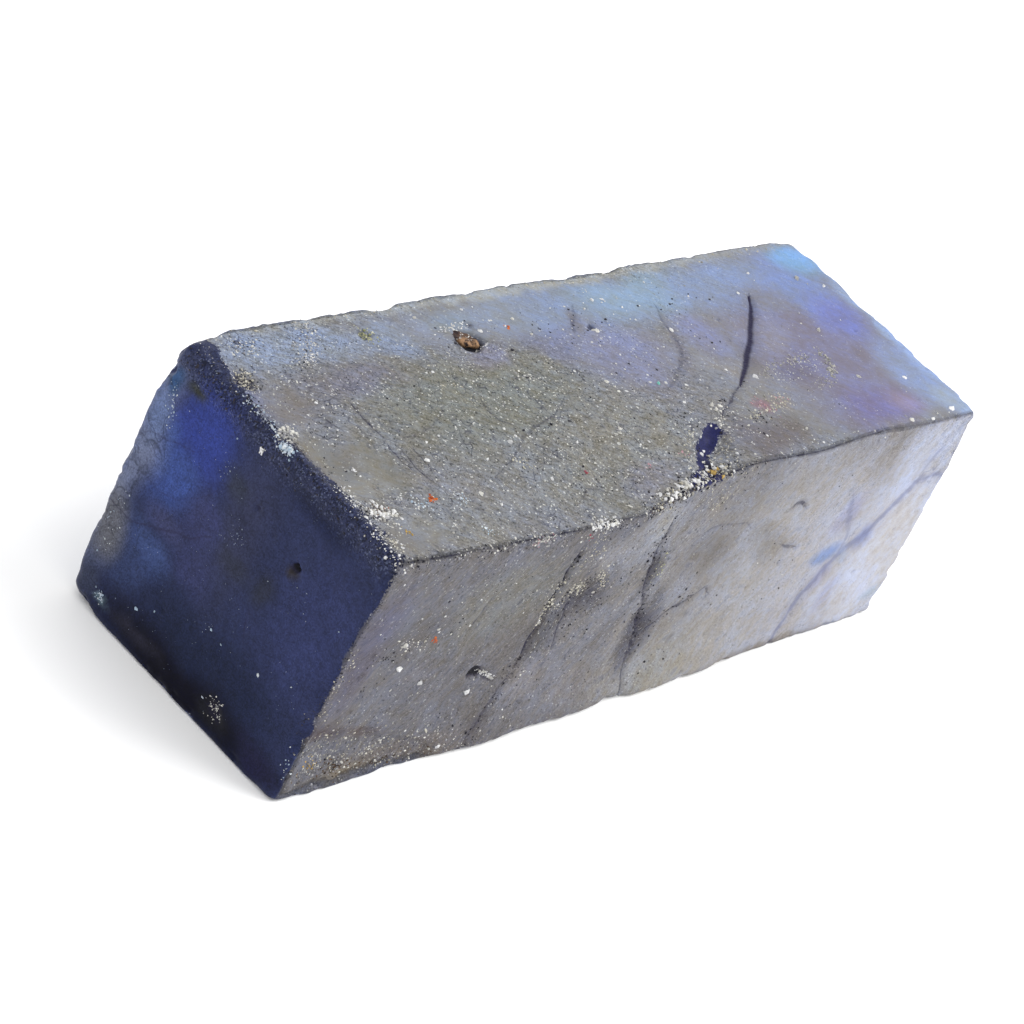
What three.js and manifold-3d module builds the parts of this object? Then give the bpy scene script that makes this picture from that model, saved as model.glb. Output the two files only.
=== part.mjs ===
// A rough sapphire chunk: one short bar of massive blue corundum, split square on all six sides.
// Its faces are almost flat, its edges are worn and chipped, and no two corners are quite alike.
//
// Millimetres, +Z up. The origin is the middle of the underside. +X runs along the bar from the dark
// near end to the pale far end, and -Y is the frosted front face.

import * as THREE from 'three';
import { mergeVertices } from 'three/addons/utils/BufferGeometryUtils.js';
import Module from 'manifold-3d';

const wasm = await Module();
wasm.setup();

// ---------------------------------------------------------------- Driving dimensions

const LENGTH = 70;
const WIDTH = 22.6;
const HEIGHT = 21.3;
const HALF = new THREE.Vector3(LENGTH / 2, WIDTH / 2, HEIGHT / 2);

// Rows of facets along the bar, across it and up it. In the band beside each edge a few rows crowd
// towards the edge, closer the higher the crowding.
const SEGMENTS = new THREE.Vector3(48, 20, 20);
const EDGE_BAND = 3;
const EDGE_ROWS = 4;
const EDGE_CROWDING = 1.7;

// Facets that stand off their neighbours by less than this are merged.
const SLIVER = 0.008;

// The radius that handling and knocks have given an ordinary edge, and how much it wanders.
const EDGE_WEAR = 0.26;
const EDGE_WANDER = 0.1;
const WANDER_SIZE = 2.6;

// The faces swell and sink a little: height and spacing of the broad swells, then of the small ones.
const SWELLS = [
  { height: 0.16, size: 13 },
  { height: 0.08, size: 4.5 },
];

// How far each corner stands off a true bar, by which end (near, far), side (front, back) and level.
const CORNER_LEAN = {
  near_front_top: [0, 0, -0.1],
  near_back_top: [0.05, 0.08, 0.3],
  far_front_top: [0.1, 0.4, -0.75],
  far_back_top: [0.3, 0.25, 0.3],
  near_front_foot: [-0.45, -0.35, 0],
  near_back_foot: [-0.4, -0.2, 0],
  far_front_foot: [0.3, -0.62, 0],
  far_back_foot: [0.1, -0.15, 0],
};

// The front top edge isn't straight. At each of these places along X, it stands this far off a straight
// edge in Y and Z, and both faces bend to follow it, less and less up to the reach.
const FRONT_TOP_EDGE_BEND = [
  { x: -36, y: -0.6, z: 0.1 },
  { x: -29, y: -0.6, z: -0.4 },
  { x: -22, y: -0.6, z: -0.85 },
  { x: -14, y: -0.65, z: -1.2 },
  { x: -9, y: -0.65, z: -1.3 },
  { x: -4.5, y: -0.35, z: -0.7 },
  { x: 0, y: 0, z: 0 },
  { x: 5, y: 0, z: 0.4 },
  { x: 13, y: 0, z: 0 },
  { x: 21, y: 0, z: 0.5 },
  { x: 30, y: 0, z: 0 },
];
const BEND_REACH = 10;

// Stretches of edge that are worn more than the rest. Each runs from one point to another, and its extra
// radius holds for half its reach and then fades out. Where stretches meet, the heaviest one counts.
const NEAR = -HALF.x;
const FAR = HALF.x;
const FRONT = -HALF.y;
const BACK = HALF.y;
const TOP = HEIGHT;
const HEAVY_WEAR = {
  near_end_top_edge: { from: [NEAR, FRONT, TOP], to: [NEAR, BACK, TOP], reach: 3, extra: 0.3 },
  back_half_of_near_end_top_edge: { from: [NEAR, 4.5, TOP], to: [NEAR, BACK, TOP], reach: 4, extra: 0.9 },
  near_end_back_top_corner: { from: [NEAR, BACK, TOP], to: [NEAR, BACK, TOP - 0.5], reach: 4, extra: 0.95 },
  near_end_back_foot: { from: [NEAR, BACK, 0], to: [NEAR, BACK, 0.5], reach: 3.5, extra: 0.75 },
  near_end_front_foot: { from: [NEAR, FRONT, 0], to: [NEAR, FRONT, 0.5], reach: 3.5, extra: 0.6 },
  near_end_back_upright: { from: [NEAR, BACK, 0], to: [NEAR, BACK, TOP], reach: 3, extra: 0.2 },
  back_top_edge: { from: [NEAR, BACK, TOP], to: [FAR, BACK, TOP], reach: 3, extra: 0.1 },
  far_end_back_top_corner: { from: [FAR, BACK, TOP], to: [FAR, BACK, TOP - 0.5], reach: 3.5, extra: 0.85 },
  far_end_front_top_corner: { from: [FAR, FRONT, TOP], to: [FAR, FRONT, TOP - 0.5], reach: 2.2, extra: 0.3 },
  far_end_front_foot: { from: [FAR, FRONT, 0], to: [FAR, FRONT, 0.5], reach: 3, extra: 0.6 },
  far_end_back_upright: { from: [FAR, BACK, 0], to: [FAR, BACK, TOP], reach: 3, extra: 0.35 },
};

// Flakes knocked off the edges. Each is where its middle lies, its three half sizes, and its turn about Z.
const CHIPS = {
  break_in_front_top_edge: { at: [-3.4, FRONT - 0.1, TOP + 0.35], size: [4.4, 1.1, 1.0], turn: 2 },
  step_beside_near_back_corner: { at: [NEAR - 0.1, BACK + 0.1, TOP - 1.9], size: [1.0, 1.1, 0.7], turn: 25 },
  nick_at_near_back_corner: { at: [NEAR + 2.4, BACK + 0.4, TOP + 0.3], size: [1.5, 0.9, 0.8], turn: -12 },
  flake_on_back_top_edge: { at: [-15.2, BACK + 0.5, TOP + 0.55], size: [2.1, 1.1, 0.95], turn: 4 },
  long_flake_on_back_top_edge: { at: [10.2, BACK + 0.45, TOP + 0.75], size: [3.4, 1.2, 0.95], turn: -1 },
  notch_under_front_face: { at: [-0.4, FRONT - 1.3, -0.1], size: [1.5, 1.0, 0.9], turn: -8 },
  flake_at_front_foot: { at: [-24.5, FRONT - 0.95, -0.1], size: [2.6, 0.9, 0.8], turn: 3 },
  flake_on_near_front_upright: { at: [NEAR - 0.45, FRONT + 0.1, 6.2], size: [0.9, 0.9, 2.1], turn: 0 },
  flake_on_near_back_upright: { at: [NEAR - 0.5, BACK + 0.5, 12.2], size: [0.9, 1.0, 1.5], turn: 10 },
  flake_on_far_end_top_edge: { at: [FAR + 0.3, 2.6, TOP + 0.3], size: [0.9, 2.6, 0.8], turn: 0 },
  nick_at_far_front_corner: { at: [FAR + 0.2, FRONT + 2.0, TOP + 0.2], size: [0.9, 1.2, 1.0], turn: 15 },
  flake_on_far_back_upright: { at: [FAR + 0.2, BACK + 0.3, 8.4], size: [1.1, 1.0, 2.6], turn: -12 },
  flake_at_back_foot: { at: [17.5, BACK + 0.3, -0.2], size: [4.6, 1.1, 0.9], turn: -2 },
  second_flake_at_back_foot: { at: [-9.5, BACK + 0.4, -0.1], size: [2.4, 1.0, 0.8], turn: 5 },
};

// Hollows in the faces. Each is where it lies, its half sizes along X, Y and Z, and its depth, which is
// less than nothing where the face swells instead.
const HOLLOWS = {
  deep_blue_scoop_behind_break: { at: [1.9, -8.2, TOP], size: [2.4, 3.4, 3], depth: 0.55 },
  shell_hollow_at_near_end: { at: [-32.0, -2.2, TOP], size: [3.2, 4.2, 3], depth: 0.4 },
  second_hollow_at_near_end: { at: [-29.2, -5.2, TOP], size: [2.6, 3.2, 3], depth: 0.22 },
  sag_of_back_top_edge: { at: [9.0, BACK, TOP], size: [26, 5.5, 5.5], depth: 0.24 },
  dish_on_top_by_back_edge: { at: [-12.0, 9.0, TOP], size: [3.2, 2.6, 3], depth: 0.3 },
  dish_on_front_face: { at: [-19.5, FRONT, 5.5], size: [5.5, 3, 3.0], depth: 0.35 },
  dip_along_crack_in_front_face: { at: [-1.2, FRONT, 8.5], size: [2.6, 3, 7.5], depth: 0.28 },
  dish_on_near_end: { at: [NEAR, 3.0, 9.0], size: [3, 5.0, 6.0], depth: 0.22 },
  dish_on_back_face: { at: [8.0, BACK, 12.0], size: [9.0, 3, 5.0], depth: 0.35 },
  dish_on_far_end: { at: [FAR, -2.0, 9.5], size: [3, 6.0, 5.5], depth: 0.3 },
  swelling_along_front_foot: { at: [-13.0, FRONT, 0.5], size: [12.0, 3, 4.5], depth: -0.5 },
  swelling_beside_notch: { at: [-3.2, FRONT, 0.5], size: [7.0, 3, 4.0], depth: -0.68 },
  swelling_past_notch: { at: [3.6, FRONT, 0.5], size: [4.4, 3, 3.5], depth: -0.6 },
  swelling_at_middle_of_front_foot: { at: [9.0, FRONT, 0.5], size: [9.5, 3, 5.0], depth: -0.65 },
};

// ---------------------------------------------------------------- Helpers

const SIDES = { near: -1, far: 1, front: -1, back: 1, foot: -1, top: 1 };

function smoothstep(t) {
  const c = THREE.MathUtils.clamp(t, 0, 1);
  return c * c * (3 - 2 * c);
}

// A fixed value from -1 to 1 for each point of a whole-number lattice.
function latticeValue(i, j, k) {
  const wave = Math.sin(i * 127.1 + j * 311.7 + k * 74.7) * 43758.5453;
  return 2 * (wave - Math.floor(wave)) - 1;
}

// Smooth noise from -1 to 1, with lumps of about the given size.
function noise(point, size) {
  const p = point.clone().divideScalar(size);
  const base = p.clone().floor();
  const [a, b, c] = p.sub(base).toArray().map(smoothstep);
  let total = 0;
  for (const i of [0, 1]) {
    for (const j of [0, 1]) {
      for (const k of [0, 1]) {
        const share = (i ? a : 1 - a) * (j ? b : 1 - b) * (k ? c : 1 - c);
        total += share * latticeValue(base.x + i, base.y + j, base.z + k);
      }
    }
  }
  return total;
}

// Places one axis's evenly spaced rows: the outer rows crowd in the edge band, and the rest spread evenly.
function spreadRows(t, half, segments) {
  const fromEdge = ((1 - Math.abs(t)) * segments) / 2;
  const innerRows = segments / 2 - EDGE_ROWS;
  const reach =
    fromEdge < EDGE_ROWS
      ? half - EDGE_BAND * (fromEdge / EDGE_ROWS) ** EDGE_CROWDING
      : ((half - EDGE_BAND) * (segments / 2 - fromEdge)) / innerRows;
  return Math.sign(t) * reach;
}

// The blend of the eight corners' leans at a point given as shares of the half sizes.
function leanAt(share) {
  const lean = new THREE.Vector3();
  for (const [corner, offset] of Object.entries(CORNER_LEAN)) {
    const [x, y, z] = corner.split('_').map((side) => SIDES[side]);
    const weight = ((1 + x * share.x) * (1 + y * share.y) * (1 + z * share.z)) / 8;
    lean.addScaledVector(new THREE.Vector3(...offset), weight);
  }
  return lean;
}

// The radius of the worn edge nearest to a point.
function wearAt(point) {
  let heaviest = 0;
  for (const { from, to, reach, extra } of Object.values(HEAVY_WEAR)) {
    const stretch = new THREE.Line3(new THREE.Vector3(...from), new THREE.Vector3(...to));
    const nearest = stretch.closestPointToPoint(point, true, new THREE.Vector3());
    heaviest = Math.max(heaviest, extra * smoothstep((2 * (reach - nearest.distanceTo(point))) / reach));
  }
  return EDGE_WEAR + EDGE_WANDER * noise(point, WANDER_SIZE) + heaviest;
}

// How far the bent front top edge carries a point along with it.
function bendAt(point) {
  const edge = new THREE.Vector3(point.x, FRONT, TOP);
  const near = smoothstep(1 - edge.distanceTo(point) / BEND_REACH);
  const after = FRONT_TOP_EDGE_BEND.findIndex(({ x }) => x > point.x);
  if (after < 0) return new THREE.Vector3();
  const [from, to] = [FRONT_TOP_EDGE_BEND[after - 1], FRONT_TOP_EDGE_BEND[after]];
  const share = smoothstep((point.x - from.x) / (to.x - from.x));
  const lerp = THREE.MathUtils.lerp;
  return new THREE.Vector3(0, near * lerp(from.y, to.y, share), near * lerp(from.z, to.z, share));
}

// How far the hollows sink the surface at a point.
function hollowAt(point) {
  let depth = 0;
  for (const { at, size, depth: full } of Object.values(HOLLOWS)) {
    const offset = point.clone().sub(new THREE.Vector3(...at)).divide(new THREE.Vector3(...size));
    depth += full * smoothstep(1 - offset.length());
  }
  return depth;
}

// ---------------------------------------------------------------- The bar

// A box of facets whose edges are rounded by the local wear, whose faces swell and sink, and whose
// corners lean. The underside stays flat, because the stone rests on it.
function wornBar() {
  const geometry = new THREE.BoxGeometry(2, 2, 2, SEGMENTS.x, SEGMENTS.y, SEGMENTS.z);
  geometry.deleteAttribute('normal');
  geometry.deleteAttribute('uv');
  const position = geometry.getAttribute('position');
  const middle = new THREE.Vector3(0, 0, HALF.z);
  for (let i = 0; i < position.count; i += 1) {
    const grid = new THREE.Vector3().fromBufferAttribute(position, i);
    const onBox = new THREE.Vector3(
      spreadRows(grid.x, HALF.x, SEGMENTS.x),
      spreadRows(grid.y, HALF.y, SEGMENTS.y),
      spreadRows(grid.z, HALF.z, SEGMENTS.z),
    );
    const world = onBox.clone().add(middle);
    const radius = wearAt(world);
    const limit = HALF.clone().subScalar(radius);
    const core = onBox.clone().clamp(limit.clone().negate(), limit);
    const outward = onBox.clone().sub(core).normalize();

    let swell = -hollowAt(world);
    for (const { height, size } of SWELLS) swell += height * noise(world, size);
    const onUnderside = smoothstep(-outward.z * 2);
    const placed = core.addScaledVector(outward, radius + swell * (1 - onUnderside));

    placed.add(bendAt(world)).add(leanAt(onBox.divide(HALF))).add(middle);
    position.setXYZ(i, ...placed.toArray());
  }
  return mergeVertices(geometry, 1e-4);
}

// The rounded flake that a chip takes away.
function chipTool({ at, size, turn }) {
  const geometry = new THREE.IcosahedronGeometry(1, 2);
  geometry.deleteAttribute('normal');
  geometry.deleteAttribute('uv');
  geometry.scale(...size);
  geometry.rotateZ(THREE.MathUtils.degToRad(turn));
  geometry.translate(...at);
  return mergeVertices(geometry, 1e-4);
}

// ---------------------------------------------------------------- Solids

function solidFrom(geometry) {
  return new wasm.Manifold(
    new wasm.Mesh({
      numProp: 3,
      vertProperties: new Float32Array(geometry.getAttribute('position').array),
      triVerts: new Uint32Array(geometry.index.array),
    }),
  );
}

function geometryFrom(solid) {
  const { vertProperties, triVerts } = solid.getMesh();
  const geometry = new THREE.BufferGeometry();
  geometry.setAttribute('position', new THREE.BufferAttribute(vertProperties, 3));
  geometry.setIndex(new THREE.BufferAttribute(triVerts, 1));
  geometry.computeVertexNormals();
  return geometry;
}

// Moves the stone so that the origin is the middle of its underside.
function standOnOrigin(geometry) {
  geometry.computeBoundingBox();
  const { min, max } = geometry.boundingBox;
  geometry.translate(-(min.x + max.x) / 2, -(min.y + max.y) / 2, -min.z);
  return geometry;
}

let stone = solidFrom(wornBar());
for (const chip of Object.values(CHIPS)) stone = stone.subtract(solidFrom(chipTool(chip)));
stone = stone.simplify(SLIVER);

const sapphire = new THREE.Mesh(
  standOnOrigin(geometryFrom(stone)),
  new THREE.MeshStandardMaterial({ color: 0x2b3566, roughness: 0.55, metalness: 0 }),
);
sapphire.name = 'sapphire_chunk';

const part = new THREE.Group();
part.add(sapphire);

export default part;
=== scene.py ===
# %% [markdown]
# # A rough sapphire chunk
#
# Rough sapphire is corundum as it comes out of the ground: deep blue inside, with a frosted, blue-grey skin
# where wind, water and other stones have scoured it. This piece is a short bar that split square on all
# sides. The lesson starts from the solid model of the bar, gives it a fine broken surface, paints the
# colour zones of the crystal, and scatters the sand and crumbs that cling to it.

import math

import bmesh
import bpy
import numpy as np
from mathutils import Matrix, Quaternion, Vector
from mathutils.bvhtree import BVHTree


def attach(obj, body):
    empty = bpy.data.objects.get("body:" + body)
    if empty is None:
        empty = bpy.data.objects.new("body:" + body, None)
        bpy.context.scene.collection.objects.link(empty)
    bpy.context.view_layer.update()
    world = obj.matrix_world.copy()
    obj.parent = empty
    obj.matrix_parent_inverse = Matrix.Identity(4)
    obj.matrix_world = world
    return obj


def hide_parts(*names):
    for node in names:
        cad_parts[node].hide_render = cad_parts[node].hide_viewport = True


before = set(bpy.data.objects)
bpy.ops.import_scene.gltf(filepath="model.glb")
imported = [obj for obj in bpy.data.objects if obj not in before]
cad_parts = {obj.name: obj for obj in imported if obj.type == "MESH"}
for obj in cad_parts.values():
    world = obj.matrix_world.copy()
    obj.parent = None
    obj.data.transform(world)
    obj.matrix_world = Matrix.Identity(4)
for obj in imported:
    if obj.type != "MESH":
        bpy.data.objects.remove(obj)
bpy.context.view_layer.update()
MM = 0.001
STONE = "sapphire_chunk"

# %% [markdown]
# ## The camera
#
# The stone is seen from above, past its dark near end. The camera is only about 23 cm away, so the bar
# tapers strongly towards its far end. Turning the camera about its own line of sight makes the bar climb
# across the picture, while the stone itself stays level on the floor.

# %% Camera
CAMERA_AT = Vector((-175.957, -96.463, 124.502)) * MM
CAMERA_AIM = Vector((-2.713, 1.710, 8.202)) * MM
CAMERA_ROLL = math.radians(27.676)
LENS_MM = 109.46

sight = CAMERA_AIM - CAMERA_AT
camera = bpy.data.objects.new("camera", bpy.data.cameras.new("camera"))
camera.location = CAMERA_AT
camera.rotation_euler = (sight.to_track_quat("-Z", "Y") @ Quaternion((0, 0, 1), CAMERA_ROLL)).to_euler()
camera.data.lens = LENS_MM
camera.data.sensor_width = 36
camera.data.clip_start = 10 * MM
bpy.context.scene.collection.objects.link(camera)
bpy.context.scene.camera = camera
print("the camera is", round(sight.length / MM), "mm from what it aims at")

# %% [markdown]
# ## Floor and light
#
# A pale floor and soft light suit a stone with a frosted skin: hard light would turn every grain into a
# spark. Most of the light is a white surround. One large lamp over the far end's front side makes the top
# and the front paler than the near end, which stays in its own soft shade.

# %% Floor and light
FLOOR_SIDE = 3.0
FLOOR_COLOUR = (0.95, 0.95, 0.95, 1)
FLOOR_ROUGHNESS = 0.9
SURROUND_COLOUR = (1.0, 1.0, 1.0, 1)
SURROUND_STRENGTH = 1.22
LAMP_AT = (0.38, -0.38, 0.68)
LAMP_SIDE = 0.50
LAMP_WATTS = 5.2

world = bpy.data.worlds.new("surround")
world.use_nodes = True
surround = world.node_tree.nodes["Background"].inputs
surround["Color"].default_value = SURROUND_COLOUR
surround["Strength"].default_value = SURROUND_STRENGTH
bpy.context.scene.world = world
bpy.context.scene.view_settings.view_transform = "Standard"


def softbox(name, at, side, watts):
    """A square lamp that faces the stone."""
    light = bpy.data.lights.new(name, "AREA")
    light.size = side
    light.energy = watts
    lamp = bpy.data.objects.new(name, light)
    lamp.location = at
    lamp.rotation_euler = (-Vector(at)).to_track_quat("-Z", "Y").to_euler()
    bpy.context.scene.collection.objects.link(lamp)


softbox("front_softbox", LAMP_AT, LAMP_SIDE, LAMP_WATTS)


def new_object(name, points, faces):
    """A mesh object from arrays of points and of triangles or quads."""
    mesh = bpy.data.meshes.new(name)
    mesh.from_pydata(points, [], faces)
    mesh.update()
    made = bpy.data.objects.new(name, mesh)
    bpy.context.scene.collection.objects.link(made)
    return made


half_floor = FLOOR_SIDE / 2
floor_corners = [(x * half_floor, y * half_floor, 0) for x, y in ((-1, -1), (1, -1), (1, 1), (-1, 1))]
floor = new_object("floor", floor_corners, [(0, 1, 2, 3)])
floor_material = bpy.data.materials.new("floor")
floor_material.use_nodes = True
floor_shader = floor_material.node_tree.nodes["Principled BSDF"]
floor_shader.inputs["Base Color"].default_value = FLOOR_COLOUR
floor_shader.inputs["Roughness"].default_value = FLOOR_ROUGHNESS
floor_shader.inputs["Specular IOR Level"].default_value = 0.0
floor.data.materials.append(floor_material)
print("a lamp of", LAMP_WATTS, "W over a floor", FLOOR_SIDE, "m wide")

# %% [markdown]
# ## Noise for a mesh
#
# Broken stone has relief of every size. Blender's texture nodes can't be read from Python, so the mesh gets
# its own noise: a random value at each point of a lattice, blended smoothly in between. Several sizes added
# together make a surface that looks broken instead of wavy.

# %% Noise
def lattice_value(i, j, k, seed):
    """A fixed random value from -1 to 1 for each whole-number lattice point."""
    mixed = (i * 73856093) ^ (j * 19349663) ^ (k * 83492791) ^ (seed * 2654435761)
    mixed = (mixed ^ (mixed >> 13)) * 1274126177
    mixed = mixed ^ (mixed >> 16)
    return (mixed & 0xFFFF) / 32767.5 - 1.0


def noise(points, size, seed=0):
    """Smooth noise from about -1 to 1, with lumps of the given size."""
    scaled = points / size
    cell = np.floor(scaled).astype(np.int64)
    share = scaled - cell
    share = share * share * (3 - 2 * share)
    total = np.zeros(len(points))
    for di in (0, 1):
        for dj in (0, 1):
            for dk in (0, 1):
                weight = (
                    np.abs(1 - di - share[:, 0]) * np.abs(1 - dj - share[:, 1]) * np.abs(1 - dk - share[:, 2])
                )
                total += weight * lattice_value(cell[:, 0] + di, cell[:, 1] + dj, cell[:, 2] + dk, seed)
    return total


def rough_noise(points, size, octaves, seed=0):
    """Noise of several sizes, each half the last and half as strong."""
    return sum(noise(points, size / 2**n, seed + n) / 2**n for n in range(octaves))


def along_and_across(drawn, angle):
    """Points of a plane measured along a line at this angle, and across it."""
    along = drawn[:, 0] * math.cos(angle) + drawn[:, 1] * math.sin(angle)
    across = drawn[:, 1] * math.cos(angle) - drawn[:, 0] * math.sin(angle)
    return along, across


def smoothstep(value, low, high):
    """0 at low, 1 at high, and a smooth change between."""
    share = np.clip((value - low) / (high - low), 0, 1)
    return share * share * (3 - 2 * share)


# %% [markdown]
# ## The stone's fine mesh
#
# The solid has the right shape but big facets. A voxel remesh lays an even skin of small faces over it, fine
# enough to carry grain and cracks as real relief. Afterwards a collapse thins the faces out where the
# surface is flat, which leaves more of them for the edges and the pits.

# %% Remesh the solid
VOXEL = 0.21
MOST_TRIANGLES = 190_000


def apply_modifiers(piece):
    """Replaces a piece's mesh by what its modifiers make of it."""
    depsgraph = bpy.context.evaluated_depsgraph_get()
    made = bpy.data.meshes.new_from_object(piece.evaluated_get(depsgraph))
    piece.modifiers.clear()
    piece.data = made


def read_vectors(collection, key):
    """One vector of each item of a mesh's collection, as an array."""
    flat = np.empty(len(collection) * 3, np.float32)
    collection.foreach_get(key, flat)
    return flat.reshape(-1, 3).astype(float)


stone = bpy.data.objects.new("sapphire_stone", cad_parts[STONE].data.copy())
bpy.context.scene.collection.objects.link(stone)
stone.data.materials.clear()
remesh = stone.modifiers.new("fine skin", "REMESH")
remesh.mode = "VOXEL"
remesh.voxel_size = VOXEL * MM
apply_modifiers(stone)
print("the fine skin has", len(stone.data.vertices), "vertices")

# %% [markdown]
# ## Where each point lies
#
# The stone has six faces, and each looks different. A plane is fitted to the vertices that face each way, so
# a point's depth under each plane says which face it is on, and how far it is from the nearest edge. The
# front top edge sags and bulges, which flat planes can't follow. So its bend is taken out of the points
# first, and the depths are measured as if that edge were straight.

# %% Faces and edges of the stone
SIDES = {
    "near": (-1, 0, 0),
    "far": (1, 0, 0),
    "front": (0, -1, 0),
    "back": (0, 1, 0),
    "under": (0, 0, -1),
    "top": (0, 0, 1),
}
FACES_THAT_WAY = 0.97
# Places along X where the front top edge stands off a straight one, and how far in Y and in Z.
EDGE_BEND = np.array([
    (-36, -0.6, 0.1), (-29, -0.6, -0.4), (-22, -0.6, -0.85), (-14, -0.65, -1.2), (-9, -0.65, -1.3),
    (-4.5, -0.35, -0.7), (0, 0, 0), (5, 0, 0.4), (13, 0, 0), (21, 0, 0.5), (30, 0, 0), (36, 0, 0),
])
STRAIGHT_EDGE = (-11.3, 21.3)
BEND_REACH = 10.0


def bend(at):
    """How far the bent front top edge carries each point, in Y and Z."""
    after = np.clip(np.searchsorted(EDGE_BEND[:, 0], at[:, 0]), 1, len(EDGE_BEND) - 1)
    start, end = EDGE_BEND[after - 1], EDGE_BEND[after]
    share = smoothstep(at[:, 0], start[:, 0], end[:, 0])[:, None]
    away = np.hypot(at[:, 1] - STRAIGHT_EDGE[0], at[:, 2] - STRAIGHT_EDGE[1])
    near = smoothstep(1 - away / BEND_REACH, 0, 1)
    return near[:, None] * (start + share * (end - start))[:, 1:]


def straightened(at):
    """The points as they would lie if the front top edge were straight."""
    straight = at.copy()
    for _ in range(3):
        straight[:, 1:] = at[:, 1:] - bend(straight)
    return straight


def fit_planes(at, normal):
    """For each side, the plane through the vertices that face that way, as (direction, offset)."""
    planes = {}
    for side, way in SIDES.items():
        chosen = at[normal @ np.array(way, float) > FACES_THAT_WAY]
        middle = chosen.mean(0)
        direction = np.linalg.svd((chosen - middle).T @ (chosen - middle))[0][:, -1]
        direction *= np.sign(direction @ np.array(way, float))
        planes[side] = (direction, direction @ middle)
    return planes


def depths_under(planes, at):
    """How deep each point lies under each side's plane, in millimetres."""
    straight = straightened(at)
    return {side: offset - straight @ direction for side, (direction, offset) in planes.items()}


def distance_to_edge(depth):
    """How deep each point lies under the second nearest side, which is the one past the nearest edge."""
    return np.sort(np.stack(list(depth.values())), axis=0)[1]


at = read_vectors(stone.data.vertices, "co") / MM
normal = read_vectors(stone.data.vertex_normals, "vector")
PLANES = fit_planes(straightened(at), normal)
depth = depths_under(PLANES, at)
edge_distance = distance_to_edge(depth)
print("planes fitted at", {side: round(offset, 2) for side, (way, offset) in PLANES.items()})


def on_side(side, depth, softness=0.25):
    """1 on that side of the stone and 0 elsewhere, softened a little at its edges."""
    others = np.min([values for name, values in depth.items() if name != side], axis=0)
    return smoothstep(others - depth[side], -softness, softness)
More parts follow.
